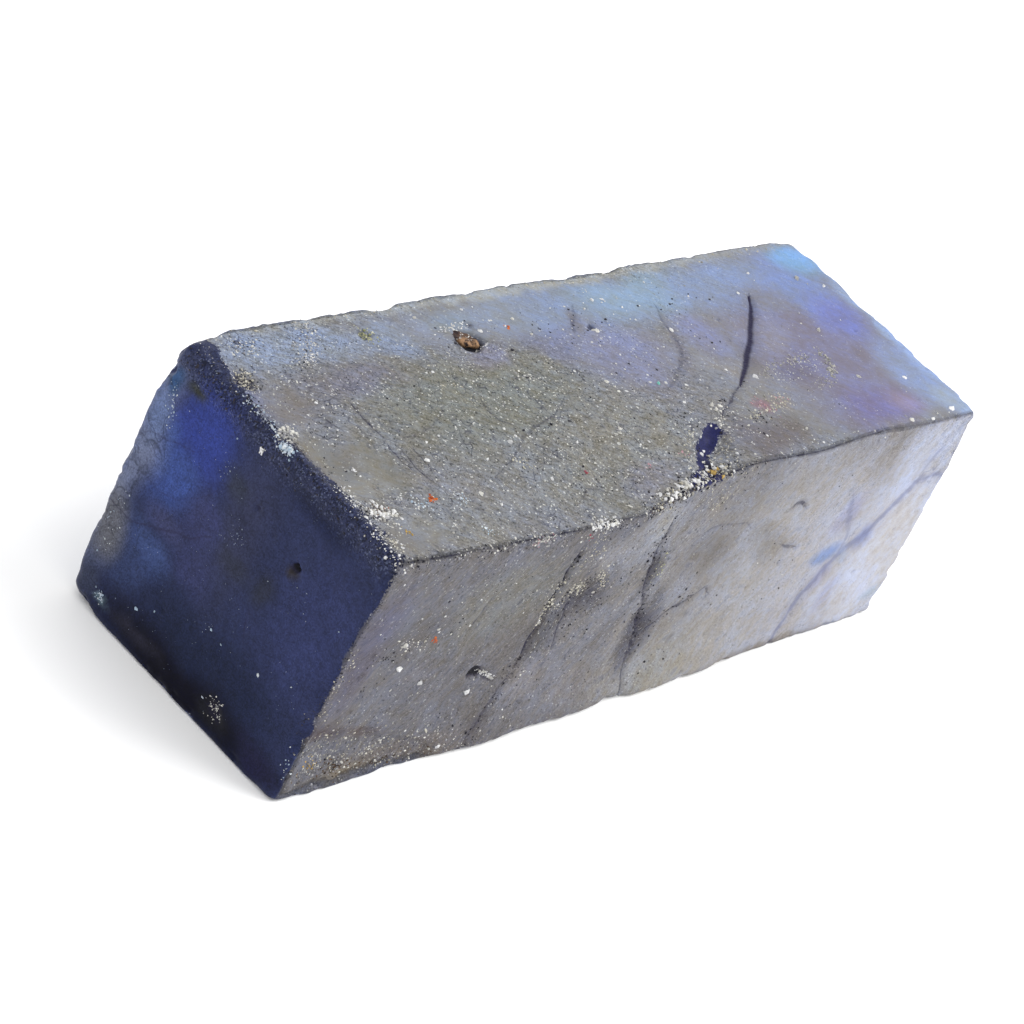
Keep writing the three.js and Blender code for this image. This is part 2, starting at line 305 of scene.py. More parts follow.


# %% [markdown]
# ## Cracks
#
# Corundum has no real cleavage, but strain leaves cracks and healed seams in it. Each is drawn as a short
# path on one face. The distance to the path is kept with its sign, because a signed distance passes cleanly
# through nought between two vertices, and so gives a line much thinner than the mesh. The paths wander a
# little, by noise, and taper towards their ends.

# %% Crack paths
# Each row: its side; its width, the depth of its groove, and how plainly it shows; 1 for a healed blue seam
# or 0 for a dark crack; how much it wanders; and its path, in the side's own two coordinates: x and y on the
# top, x and z on the front and back, and y and z on the ends. All lengths are in millimetres.
CRACKS = {
    "long_crack": ("top", 0.5, 0.2, 1.0, 0, 0.2, [
        (22.9, 6.3), (21.9, 5.1), (20.6, 4.0), (19.3, 2.9), (18.5, 2.2), (17.3, 1.3), (16.1, 0.5),
        (14.8, -0.5), (13.3, -1.5), (11.7, -2.5),
    ]),
    "long_crack_end": ("top", 0.22, 0.1, 0.75, 0, 1, [
        (12.2, -2.0), (10.4, -3.0), (8.8, -3.9), (7.2, -4.5), (5.0, -5.9),
    ]),
    "hairline_from_back": ("top", 0.3, 0.05, 0.45, 0, 1, [
        (11.6, 7.2), (10.7, 5.4), (10.0, 3.4), (9.5, 2.1), (8.6, 1.3), (7.4, 0.5), (5.8, -0.5), (4.0, -1.3),
    ]),
    "short_back_crack": ("top", 0.34, 0.07, 0.5, 0, 1, [(2.9, 8.5), (2.1, 7.6), (1.2, 6.8), (0.3, 5.9)]),
    "near_scratch": ("top", 0.16, 0.08, 0.85, 0, 1, [(-26.4, 3.2), (-26.5, 1.5), (-26.4, -0.4)]),
    "second_near_scratch": ("top", 0.15, 0.07, 0.8, 0, 1, [(-26.7, -1.2), (-26.7, -2.6), (-26.5, -3.8)]),
    "third_near_scratch": ("top", 0.15, 0.07, 0.8, 0, 1, [(-25.9, -2.0), (-26.0, -3.4), (-25.8, -5.0)]),
    "fourth_near_scratch": ("top", 0.12, 0.05, 0.7, 0, 1, [(-24.8, -1.9), (-24.7, -2.8), (-24.8, -3.8)]),
    "near_groove": ("top", 0.2, 0.04, 0.25, 0, 1, [(-26.4, -4.6), (-26.5, -7.0), (-26.6, -10.4)]),
    "middle_hairline": ("top", 0.2, 0.06, 0.5, 0, 1, [
        (-19.6, -5.4), (-17.0, -4.5), (-14.4, -3.0), (-12.5, -2.2), (-9.6, -1.6), (-7.2, -0.3),
    ]),
    "middle_hairline_up": ("top", 0.16, 0.05, 0.6, 0, 1, [
        (-14.8, 1.3), (-15.2, 0.0), (-15.0, -1.1), (-14.2, -1.8),
    ]),
    "middle_hairline_down": ("top", 0.16, 0.05, 0.55, 0, 1, [(-14.0, -3.4), (-13.1, -4.4), (-12.1, -5.4)]),
    "front_hairline": ("top", 0.16, 0.05, 0.5, 0, 1, [
        (-13.4, -8.6), (-12.2, -8.1), (-10.8, -8.1), (-9.6, -8.9),
    ]),
    "short_front_hairline": ("top", 0.14, 0.04, 0.5, 0, 1, [(-10.4, -6.8), (-10.3, -8.1)]),
    "olive_hairline": ("top", 0.16, 0.04, 0.4, 0, 1, [
        (-24.9, -0.9), (-23.2, -0.9), (-21.6, -0.4), (-20.0, 0.3), (-18.6, 1.5),
    ]),
    "crack_through_front": ("front", 0.3, 0.14, 0.62, 0, 1, [
        (-3.7, 18.4), (-3.5, 17.0), (-3.3, 15.6), (-3.0, 14.4), (-2.7, 12.8), (-2.3, 11.3), (-1.6, 10.1),
        (-0.9, 8.7), (-0.5, 7.0), (-0.1, 5.0), (0.2, 3.0), (0.6, 1.2), (1.0, 0.2),
    ]),
    "gritty_crack": ("front", 0.34, 0.26, 0.85, 0, 1, [
        (-14.2, 17.6), (-14.4, 16.4), (-14.1, 15.2), (-14.0, 14.2), (-14.3, 13.0), (-14.2, 11.6),
        (-14.0, 10.6), (-14.4, 9.4), (-14.3, 8.2), (-14.5, 6.8),
    ]),
    "dotted_crack": ("front", 0.2, 0.1, 0.6, 0, 1, [
        (-11.0, 13.6), (-11.1, 12.0), (-11.0, 10.4), (-11.2, 9.0), (-11.0, 7.6),
    ]),
    "foot_crack": ("front", 0.3, 0.1, 0.42, 0, 1, [
        (-14.3, 6.6), (-15.2, 5.4), (-15.4, 4.4), (-16.2, 3.0), (-16.8, 1.8), (-17.0, 0.4),
    ]),
    "front_branch": ("front", 0.26, 0.1, 0.62, 0, 1, [
        (0.6, 6.4), (1.8, 7.1), (3.0, 7.9), (4.2, 8.2), (5.2, 8.8), (6.4, 9.4),
    ]),
    "front_branch_end": ("front", 0.26, 0.1, 0.6, 0, 1, [(6.5, 9.2), (7.2, 8.5)]),
    "grey_line": ("front", 0.2, 0.05, 0.4, 0, 1, [
        (1.0, 14.9), (3.0, 15.4), (5.6, 15.2), (7.6, 14.9), (8.8, 14.2),
    ]),
    "near_hairline": ("front", 0.2, 0.08, 0.5, 0, 1, [(-21.6, 15.0), (-21.9, 13.6), (-22.4, 12.2)]),
    "far_seam": ("front", 0.8, 0.06, 0.9, 1, 1, [
        (35.4, 14.2), (33.8, 14.6), (32.0, 14.4), (31.2, 14.1), (30.2, 13.2), (29.2, 12.2), (28.4, 11.0),
        (27.6, 10.0), (26.2, 9.4), (24.8, 8.5), (23.8, 7.4), (22.8, 6.2), (21.9, 4.8), (21.3, 3.4),
        (20.9, 1.8), (20.8, 0.1),
    ]),
    "far_seam_top": ("front", 0.6, 0.04, 0.55, 1, 1, [(32.6, 17.4), (31.9, 16.4), (31.3, 15.0)]),
    "far_seam_branch": ("front", 0.6, 0.05, 0.6, 1, 1, [
        (21.8, 14.8), (22.5, 13.4), (23.2, 12.4), (24.0, 11.2), (24.5, 10.0), (24.6, 8.8),
    ]),
    "pitted_vein": ("front", 0.36, 0.16, 0.75, 0, 1, [
        (12.8, 15.1), (13.7, 15.4), (14.9, 15.2), (15.4, 14.9),
    ]),
    "pitted_vein_below": ("front", 0.32, 0.14, 0.6, 0, 1, [(14.6, 11.4), (15.6, 11.1), (16.9, 10.6)]),
    "near_end_seam": ("near", 0.16, 0.04, 0.55, 0, 1, [
        (11.4, 8.3), (9.2, 8.2), (8.2, 8.7), (7.2, 9.2), (5.9, 9.9), (4.2, 10.6), (2.6, 12.2),
    ]),
    "near_end_upper_seam": ("near", 0.12, 0.04, 0.45, 0, 1, [
        (11.5, 13.8), (10.6, 14.6), (9.4, 15.0), (8.2, 15.6), (6.6, 15.9),
    ]),
    "near_end_fork": ("near", 0.1, 0.03, 0.35, 0, 1, [
        (11.2, 11.2), (9.6, 11.8), (8.0, 11.6), (6.4, 12.2), (5.2, 13.2), (3.6, 15.2), (2.4, 16.8),
    ]),
    "near_end_scratch": ("near", 0.14, 0.04, 0.4, 0, 1, [(-2.5, 10.2), (-2.8, 9.2), (-3.1, 8.0)]),
    "back_crack": ("back", 0.3, 0.16, 0.8, 0, 1, [
        (23.4, 21.0), (22.2, 17.4), (22.8, 13.6), (20.9, 9.8), (21.4, 5.6), (19.7, 1.2),
    ]),
    "back_seam": ("back", 0.6, 0.06, 0.8, 1, 1, [
        (-30.5, 3.2), (-25.1, 7.4), (-19.6, 9.1), (-14.4, 13.9), (-11.8, 20.4),
    ]),
    "far_end_crack": ("far", 0.5, 0.06, 0.8, 1, 1, [
        (-11.0, 14.4), (-7.1, 13.2), (-3.0, 9.4), (1.4, 7.8), (5.6, 3.0), (7.4, 0.2),
    ]),
}
# The two axes that a side's drawings use, as columns of a point.
DRAWN_ON = {"top": (0, 1), "under": (0, 1), "front": (0, 2), "back": (0, 2), "near": (1, 2), "far": (1, 2)}
CRACK_WANDER = 0.13
CRACK_WANDER_SIZE = 1.3
CRACK_JAG = 0.06
CRACK_JAG_SIZE = 0.4
FADE_PAST_END = 0.35
THIN_ENDS = 0.35
MOST_WIDTHS = 6.0
FAINTEST = 0.02


def signed_distance(drawn, path):
    """For points of a plane and a path: the distance with a sign for its side, how far past the path's ends
    they are, and how far along it from 0 to 1."""
    corners = np.array(path, float)
    lengths = np.linalg.norm(np.diff(corners, axis=0), axis=1)
    best = np.full(len(drawn), np.inf)
    sign, past, travelled = np.ones(len(drawn)), np.zeros(len(drawn)), np.zeros(len(drawn))
    for number, length in enumerate(lengths):
        along = (corners[number + 1] - corners[number]) / length
        offset = drawn - corners[number]
        reach = offset @ along
        held = np.clip(reach, 0, length)
        away = np.linalg.norm(offset - held[:, None] * along, axis=1)
        over = np.where(number == 0, np.maximum(-reach, 0), 0)
        over = over + np.where(number == len(lengths) - 1, np.maximum(reach - length, 0), 0)
        closer = away < best
        best = np.where(closer, away, best)
        sign = np.where(closer, np.sign(along[0] * offset[:, 1] - along[1] * offset[:, 0]), sign)
        past = np.where(closer, over, past)
        travelled = np.where(closer, lengths[:number].sum() + held, travelled)
    return best * sign, past, travelled / lengths.sum()


def crack_fields(at, depth):
    """Signed distance to the nearest crack in its own widths, its strength, its blue, and its groove."""
    wander = np.stack([
        CRACK_WANDER * noise(at, CRACK_WANDER_SIZE, 11 + n) + CRACK_JAG * noise(at, CRACK_JAG_SIZE, 17 + n)
        for n in range(3)
    ], axis=1)
    nearest = np.full(len(at), MOST_WIDTHS)
    strength, blue, groove = (np.zeros(len(at)) for _ in range(3))
    for side, wide, deep, plain, seam, loose, path in CRACKS.values():
        wandered = at + loose * wander
        across, past, share = signed_distance(wandered[:, DRAWN_ON[side]], path)
        width = wide * (THIN_ENDS + (1 - THIN_ENDS) * np.sin(np.pi * share) ** 0.7)
        shown = on_side(side, depth) * np.exp(-past / FADE_PAST_END)
        close = 1 - smoothstep(np.abs(across), 0.5 + wide, 0.9 + 2.5 * wide)
        widths = np.clip(across / width, -MOST_WIDTHS, MOST_WIDTHS)
        taken = (np.abs(widths) < np.abs(nearest)) & (shown * close > FAINTEST)
        nearest = np.where(taken, widths, nearest)
        strength = np.where(taken, shown * close * plain, strength)
        blue = np.where(taken, seam, blue)
        groove = np.maximum(groove, shown * deep * np.exp(-((across / width) ** 2)))
    return nearest, strength, blue, groove


print(len(CRACKS), "cracks and seams")

# %% [markdown]
# ## Pits, scoops and worn patches
#
# Some spots were plucked out of the surface, and some were rubbed smooth. Each is an ellipse on one face:
# how far a point is from its middle, in the ellipse's own sizes, says how deep the hole is there. Small pits
# are many and random, so they come from a seeded generator.

# %% Pits and smooth patches
# Each row: its side, its middle, its two half-sizes, its turn in degrees, and its depth.
PITS = {
    "seat_of_rust_grain": ("top", (-10.6, 6.7), (1.5, 1.2), -14, 0.6),
    "yellow_green_pit": ("top", (-19.1, 9.3), (0.8, 0.7), -20, 0.25),
    "rim_pit": ("top", (-32.9, 7.0), (0.9, 1.2), 0, 0.25),
    "white_spot_seat": ("top", (-32.4, -6.6), (1.2, 0.8), 20, 0.2),
    "spot_by_back": ("top", (2.6, 6.1), (0.6, 0.4), 30, 0.25),
    "near_end_pit": ("near", (-4.4, 15.2), (0.42, 0.42), 0, 0.45),
    "small_near_end_pit": ("near", (0.2, 16.5), (0.28, 0.22), 0, 0.18),
    "chipped_spot": ("front", (-19.0, 7.4), (1.1, 0.6), -25, 0.35),
    "groove_beside_it": ("front", (-17.3, 6.6), (1.4, 0.4), -32, 0.22),
    "low_near_end_pit": ("near", (-3.5, 1.9), (1.1, 0.8), 0, 0.15),
    "back_pit": ("back", (-6.0, 13.5), (1.8, 1.1), 25, 0.2),
    "far_end_pit": ("far", (4.0, 14.0), (1.2, 0.8), -15, 0.18),
}
SCOOPS = {
    "blue_notch": ("top", (2.8, -7.3), (2.6, 1.4), 38, 0.5),
    "blue_notch_foot": ("top", (0.2, -9.6), (2.0, 1.5), 20, 0.45),
    "by_near_edge": ("top", (-32.0, -1.7), (2.5, 3.8), 10, 0.42),
    "behind_it": ("top", (-28.7, -2.6), (1.9, 2.9), 15, 0.26),
    "by_the_rim": ("top", (-30.6, 3.6), (2.6, 2.0), 0, 0.18),
    "near_front_corner": ("top", (-30.2, -8.8), (3.0, 1.6), 8, 0.16),
    "by_near_back": ("top", (-21.5, 7.6), (2.8, 1.8), -20, 0.2),
    "behind_the_pit": ("top", (-15.6, 8.4), (2.4, 1.8), 10, 0.18),
    "lilac_dip": ("front", (-29.5, 8.8), (3.2, 2.4), -30, 0.22),
    "olive_dip": ("front", (-20.6, 13.4), (3.0, 3.4), 20, 0.2),
    "dark_dip": ("front", (-10.8, 11.2), (3.2, 2.4), 30, 0.4),
    "middle_dip": ("front", (3.4, 13.0), (3.0, 2.6), 0, 0.3),
    "right_dip": ("front", (12.0, 12.6), (4.0, 1.8), -18, 0.25),
    "back_dip": ("back", (12.0, 10.0), (5.0, 3.4), 20, 0.4),
}
# The same, with how smooth the patch is rubbed in place of a depth.
RUBBED = {
    "hollow_by_near_edge": ("top", (-32.2, -2.0), (2.3, 3.2), 10, 1.0),
    "hollow_behind_it": ("top", (-29.0, -2.4), (2.0, 2.8), 15, 0.8),
    "strip_by_rim": ("top", (-31.5, 3.8), (3.0, 1.8), 0, 0.7),
    "near_corner": ("top", (-31.0, -9.0), (3.4, 1.8), 0, 0.75),
    "back_strip": ("top", (2.0, 8.6), (22.0, 3.4), -2, 0.85),
    "violet_patch": ("top", (3.5, 3.5), (7.0, 4.6), 0, 0.6),
    "brown_patch": ("top", (9.5, -7.8), (5.0, 2.2), 0, 0.6),
    "far_half": ("top", (26.0, 0.0), (19.0, 16.0), 0, 0.85),
    "far_third": ("top", (31.0, 0.0), (13.0, 16.0), 0, 0.95),
    "pale_front": ("front", (14.0, 9.0), (14.0, 14.0), 0, 0.5),
    "far_face": ("front", (29.0, 8.0), (8.5, 12.0), 0, 0.8),
    "lilac_near_face": ("front", (-31.5, 12.0), (4.5, 7.0), 0, 0.35),
}
# The two shares of a hollow's size between which its wall, or a patch's border, lies.
PIT_WALL = (0.55, 1.1)
SCOOP_WALL = (0.0, 1.2)
SMALL_PIT_WALL = (0.4, 1.3)
RUBBED_BORDER = (0.6, 1.25)
HOLLOW_RAGGED = 0.3
RUBBED_RAGGED = 0.7
NEAR_END_SMOOTH = 0.85
# For each side: how many small pits it has, their radii and their depths.
SMALL_PITS = {
    "front": (190, (0.1, 0.26), (0.05, 0.16)),
    "top": (150, (0.1, 0.24), (0.04, 0.12)),
    "near": (26, (0.1, 0.2), (0.03, 0.08)),
    "back": (170, (0.1, 0.3), (0.05, 0.16)),
    "far": (50, (0.1, 0.26), (0.05, 0.14)),
}


def ellipse(at, depth, side, centre, size, turn=0, ragged=0.0, seed=31):
    """How far each point is from an ellipse's middle, in its own sizes, and whether it is on that side."""
    drawn = at[:, DRAWN_ON[side]] - np.array(centre)
    if ragged:
        torn = [noise(at, 3 * ragged, seed + n) for n in (0, 1)]
        drawn = drawn + ragged * np.stack(torn, axis=1)
    along, across = along_and_across(drawn, math.radians(turn))
    return np.hypot(along / size[0], across / size[1]), on_side(side, depth)


def named_depth(at, depth, hollows, wall):
    """How deep the named hollows are at each point. Their walls fall between two shares of their size."""
    total = np.zeros(len(at))
    for side, middle, size, turn, deep in hollows.values():
        away, there = ellipse(at, depth, side, middle, size, turn, HOLLOW_RAGGED * min(size))
        total = np.maximum(total, deep * there * (1 - smoothstep(away, *wall)))
    return total


def small_pit_depth(at, depth):
    """How deep the scattered small pits are at each point."""
    draw = np.random.default_rng(7)
    total = np.zeros(len(at))
    for side, (count, radius_range, depth_range) in SMALL_PITS.items():
        here = np.flatnonzero(on_side(side, depth) > 0.9)
        flat = at[here][:, DRAWN_ON[side]]
        low, high = flat.min(0), flat.max(0)
        middles = draw.uniform(low, high, (count, 2))
        radii = draw.uniform(*radius_range, count)
        depths = draw.uniform(*depth_range, count)
        for middle, radius, deep in zip(middles, radii, depths):
            close = np.flatnonzero(np.abs(flat - middle).max(1) < 2 * radius)
            away = np.linalg.norm(flat[close] - middle, axis=1) / radius
            spot = here[close]
            total[spot] = np.maximum(total[spot], deep * (1 - smoothstep(away, *SMALL_PIT_WALL)))
    return total


def rubbed_smooth(at, depth):
    """1 where the skin is rubbed smooth, 0 where it is rough. The near end is smooth all over."""
    smooth = on_side("near", depth) * NEAR_END_SMOOTH
    for side, middle, size, turn, amount in RUBBED.values():
        away, there = ellipse(at, depth, side, middle, size, turn, RUBBED_RAGGED)
        smooth = np.maximum(smooth, amount * there * (1 - smoothstep(away, *RUBBED_BORDER)))
    return smooth


print(len(PITS) + len(SCOOPS), "named hollows and", sum(row[0] for row in SMALL_PITS.values()), "small ones")

# %% [markdown]
# ## Relief
#
# The vertices now move along their own normals. The front and the back have diagonal ribs, a millimetre or
# two apart, where the stone tore instead of splitting. Low on the front, by the near end, is a rough ledge.
# The top is finer and silky. Edges crumble: noise bites into them only close to the edge. The underside
# stays flat, because the stone rests on it.

# %% Move the vertices
RIB_ANGLE = math.radians(50)
SILK_ANGLE = math.radians(-40)
LUMP_SIZE = 2.4
LUMP_HEIGHT = 0.08
GRAIN_SIZE = 0.75
GRAIN_HEIGHT = 0.05
RIB_SIZE = 1.5
RIB_LENGTH = 3.6
RIB_HEIGHT = 0.1
SILK_SIZE = 0.7
SILK_LENGTH = 3.0
SILK_HEIGHT = 0.03
CRUMBLE_SIZE = 1.1
CRUMBLE_REACH = 0.9
CRUMBLE_DEPTH = 0.34
CALM_CRUMBLE = 0.4
RIM_REACH = 2.4
RIM_LUMP_SIZE = 0.8
RIM_HEIGHT = 0.16
FLAT_UNDER = 0.35
# The ledge low on the front face: places along X and how high it lies there. Below it the stone is set back.
LEDGE_X = (-36, -33.5, -31, -28.5, -26.5, -24.4, -21.5, -17.5)
LEDGE_Z = (6.8, 6.1, 5.6, 5.0, 4.1, 3.3, 2.1, 0.6)
LEDGE_DEPTH = 0.3
LEDGE_ROUGH = 0.17


def stretched(at, axes, angle, ratio):
    """Points with one direction of a face squeezed, so that noise on them comes out as long streaks."""
    along, across = along_and_across(at[:, axes], angle)
    other = at[:, [axis for axis in range(3) if axis not in axes][0]]
    return np.stack([along / ratio, across, other], axis=1)


def below_ledge(at, depth):
    """1 on the front face below the ledge, 0 above it."""
    under_it = np.interp(at[:, 0], LEDGE_X, LEDGE_Z) - at[:, 2] + 0.35 * noise(at, 1.1, 73)
    return on_side("front", depth) * smoothstep(under_it, -0.1, 0.5) * smoothstep(-at[:, 0], 17.5, 21)


def relief(at, depth, edge_distance):
    """How far each vertex stands out along its normal, in millimetres."""
    rough = 1 - 0.85 * rubbed_smooth(at, depth)
    height = rough * LUMP_HEIGHT * rough_noise(at, LUMP_SIZE, 3, seed=41)
    height += rough * GRAIN_HEIGHT * rough_noise(at, GRAIN_SIZE, 2, seed=47)
    ribs = stretched(at, [0, 2], RIB_ANGLE, RIB_LENGTH)
    tall = on_side("front", depth) + on_side("back", depth)
    height += rough * tall * RIB_HEIGHT * rough_noise(ribs, RIB_SIZE, 3, seed=53)
    silk = stretched(at, [0, 1], SILK_ANGLE, SILK_LENGTH)
    height += rough * on_side("top", depth) * SILK_HEIGHT * rough_noise(silk, SILK_SIZE, 2, seed=59)
    height -= crack_fields(at, depth)[3] + small_pit_depth(at, depth)
    height -= named_depth(at, depth, PITS, PIT_WALL) + named_depth(at, depth, SCOOPS, SCOOP_WALL)
    height -= below_ledge(at, depth) * (LEDGE_DEPTH - LEDGE_ROUGH * rough_noise(at, 0.9, 3, seed=57))

    near_edge = 1 - smoothstep(edge_distance, 0.0, CRUMBLE_REACH)
    bite = smoothstep(rough_noise(at, CRUMBLE_SIZE, 3, seed=61), 0.05, 0.9)
    calm = 1 - smoothstep(np.minimum(np.maximum(depth["back"], depth["top"]), depth["far"]), 0.5, 1.5)
    height -= CRUMBLE_DEPTH * near_edge * bite * (1 - (1 - CALM_CRUMBLE) * calm)
    rim = (1 - smoothstep(np.maximum(depth["near"], depth["top"]), 0.4, RIM_REACH)) * (depth["under"] > 3)
    height += rim * RIM_HEIGHT * rough_noise(at, RIM_LUMP_SIZE, 3, seed=67)
    return height * smoothstep(at[:, 2], 0.0, FLAT_UNDER)


height = relief(at, depth, edge_distance)
moved = at + normal * height[:, None]
moved[:, 2] = np.maximum(moved[:, 2], 0.0)
stone.data.vertices.foreach_set("co", (moved * MM).astype(np.float32).ravel())
stone.data.update()
print("relief from", round(height.min(), 2), "to", round(height.max(), 2), "mm")

triangles = sum(len(face.vertices) - 2 for face in stone.data.polygons)
if triangles > MOST_TRIANGLES:
    thin = stone.modifiers.new("thin out", "DECIMATE")
    thin.ratio = MOST_TRIANGLES / triangles
    apply_modifiers(stone)
stone.data.shade_smooth()
print(triangles, "triangles before thinning,", sum(len(f.vertices) - 2 for f in stone.data.polygons), "after")

# %% [markdown]
# ## Colour zones of the stone
#
# The blue of sapphire comes in clouds and bands. The frosted skin shows it only faintly, in grey, lilac and
# sky blue, but the near end broke clean and shows the deep colour itself. Both are painted on the vertices:
# one colour as if the stone were skinned all over, and one as if it were bare. Soft ellipses are laid over
# each other as washes of paint are. Some washes are painted light and shade: a sheen on the front's far end,
# a glow of light through the stone near some edges and corners, a highlight on a hollow's rim, and shade at
# the near end's foot and beside the inclusion. The fine mottling comes later, in the material.

# %% Colours of the frosted skin
# The skin's colours are written as bright as they look in this light, and painted this much darker.
SKIN_PAINT = 0.6
SKIN_BASE = {
    "near": (0.06, 0.07, 0.13),
    "far": (0.36, 0.40, 0.56),
    "front": (0.2, 0.195, 0.215),
    "back": (0.20, 0.24, 0.36),
    "under": (0.22, 0.23, 0.29),
    "top": (0.27, 0.275, 0.3),
}
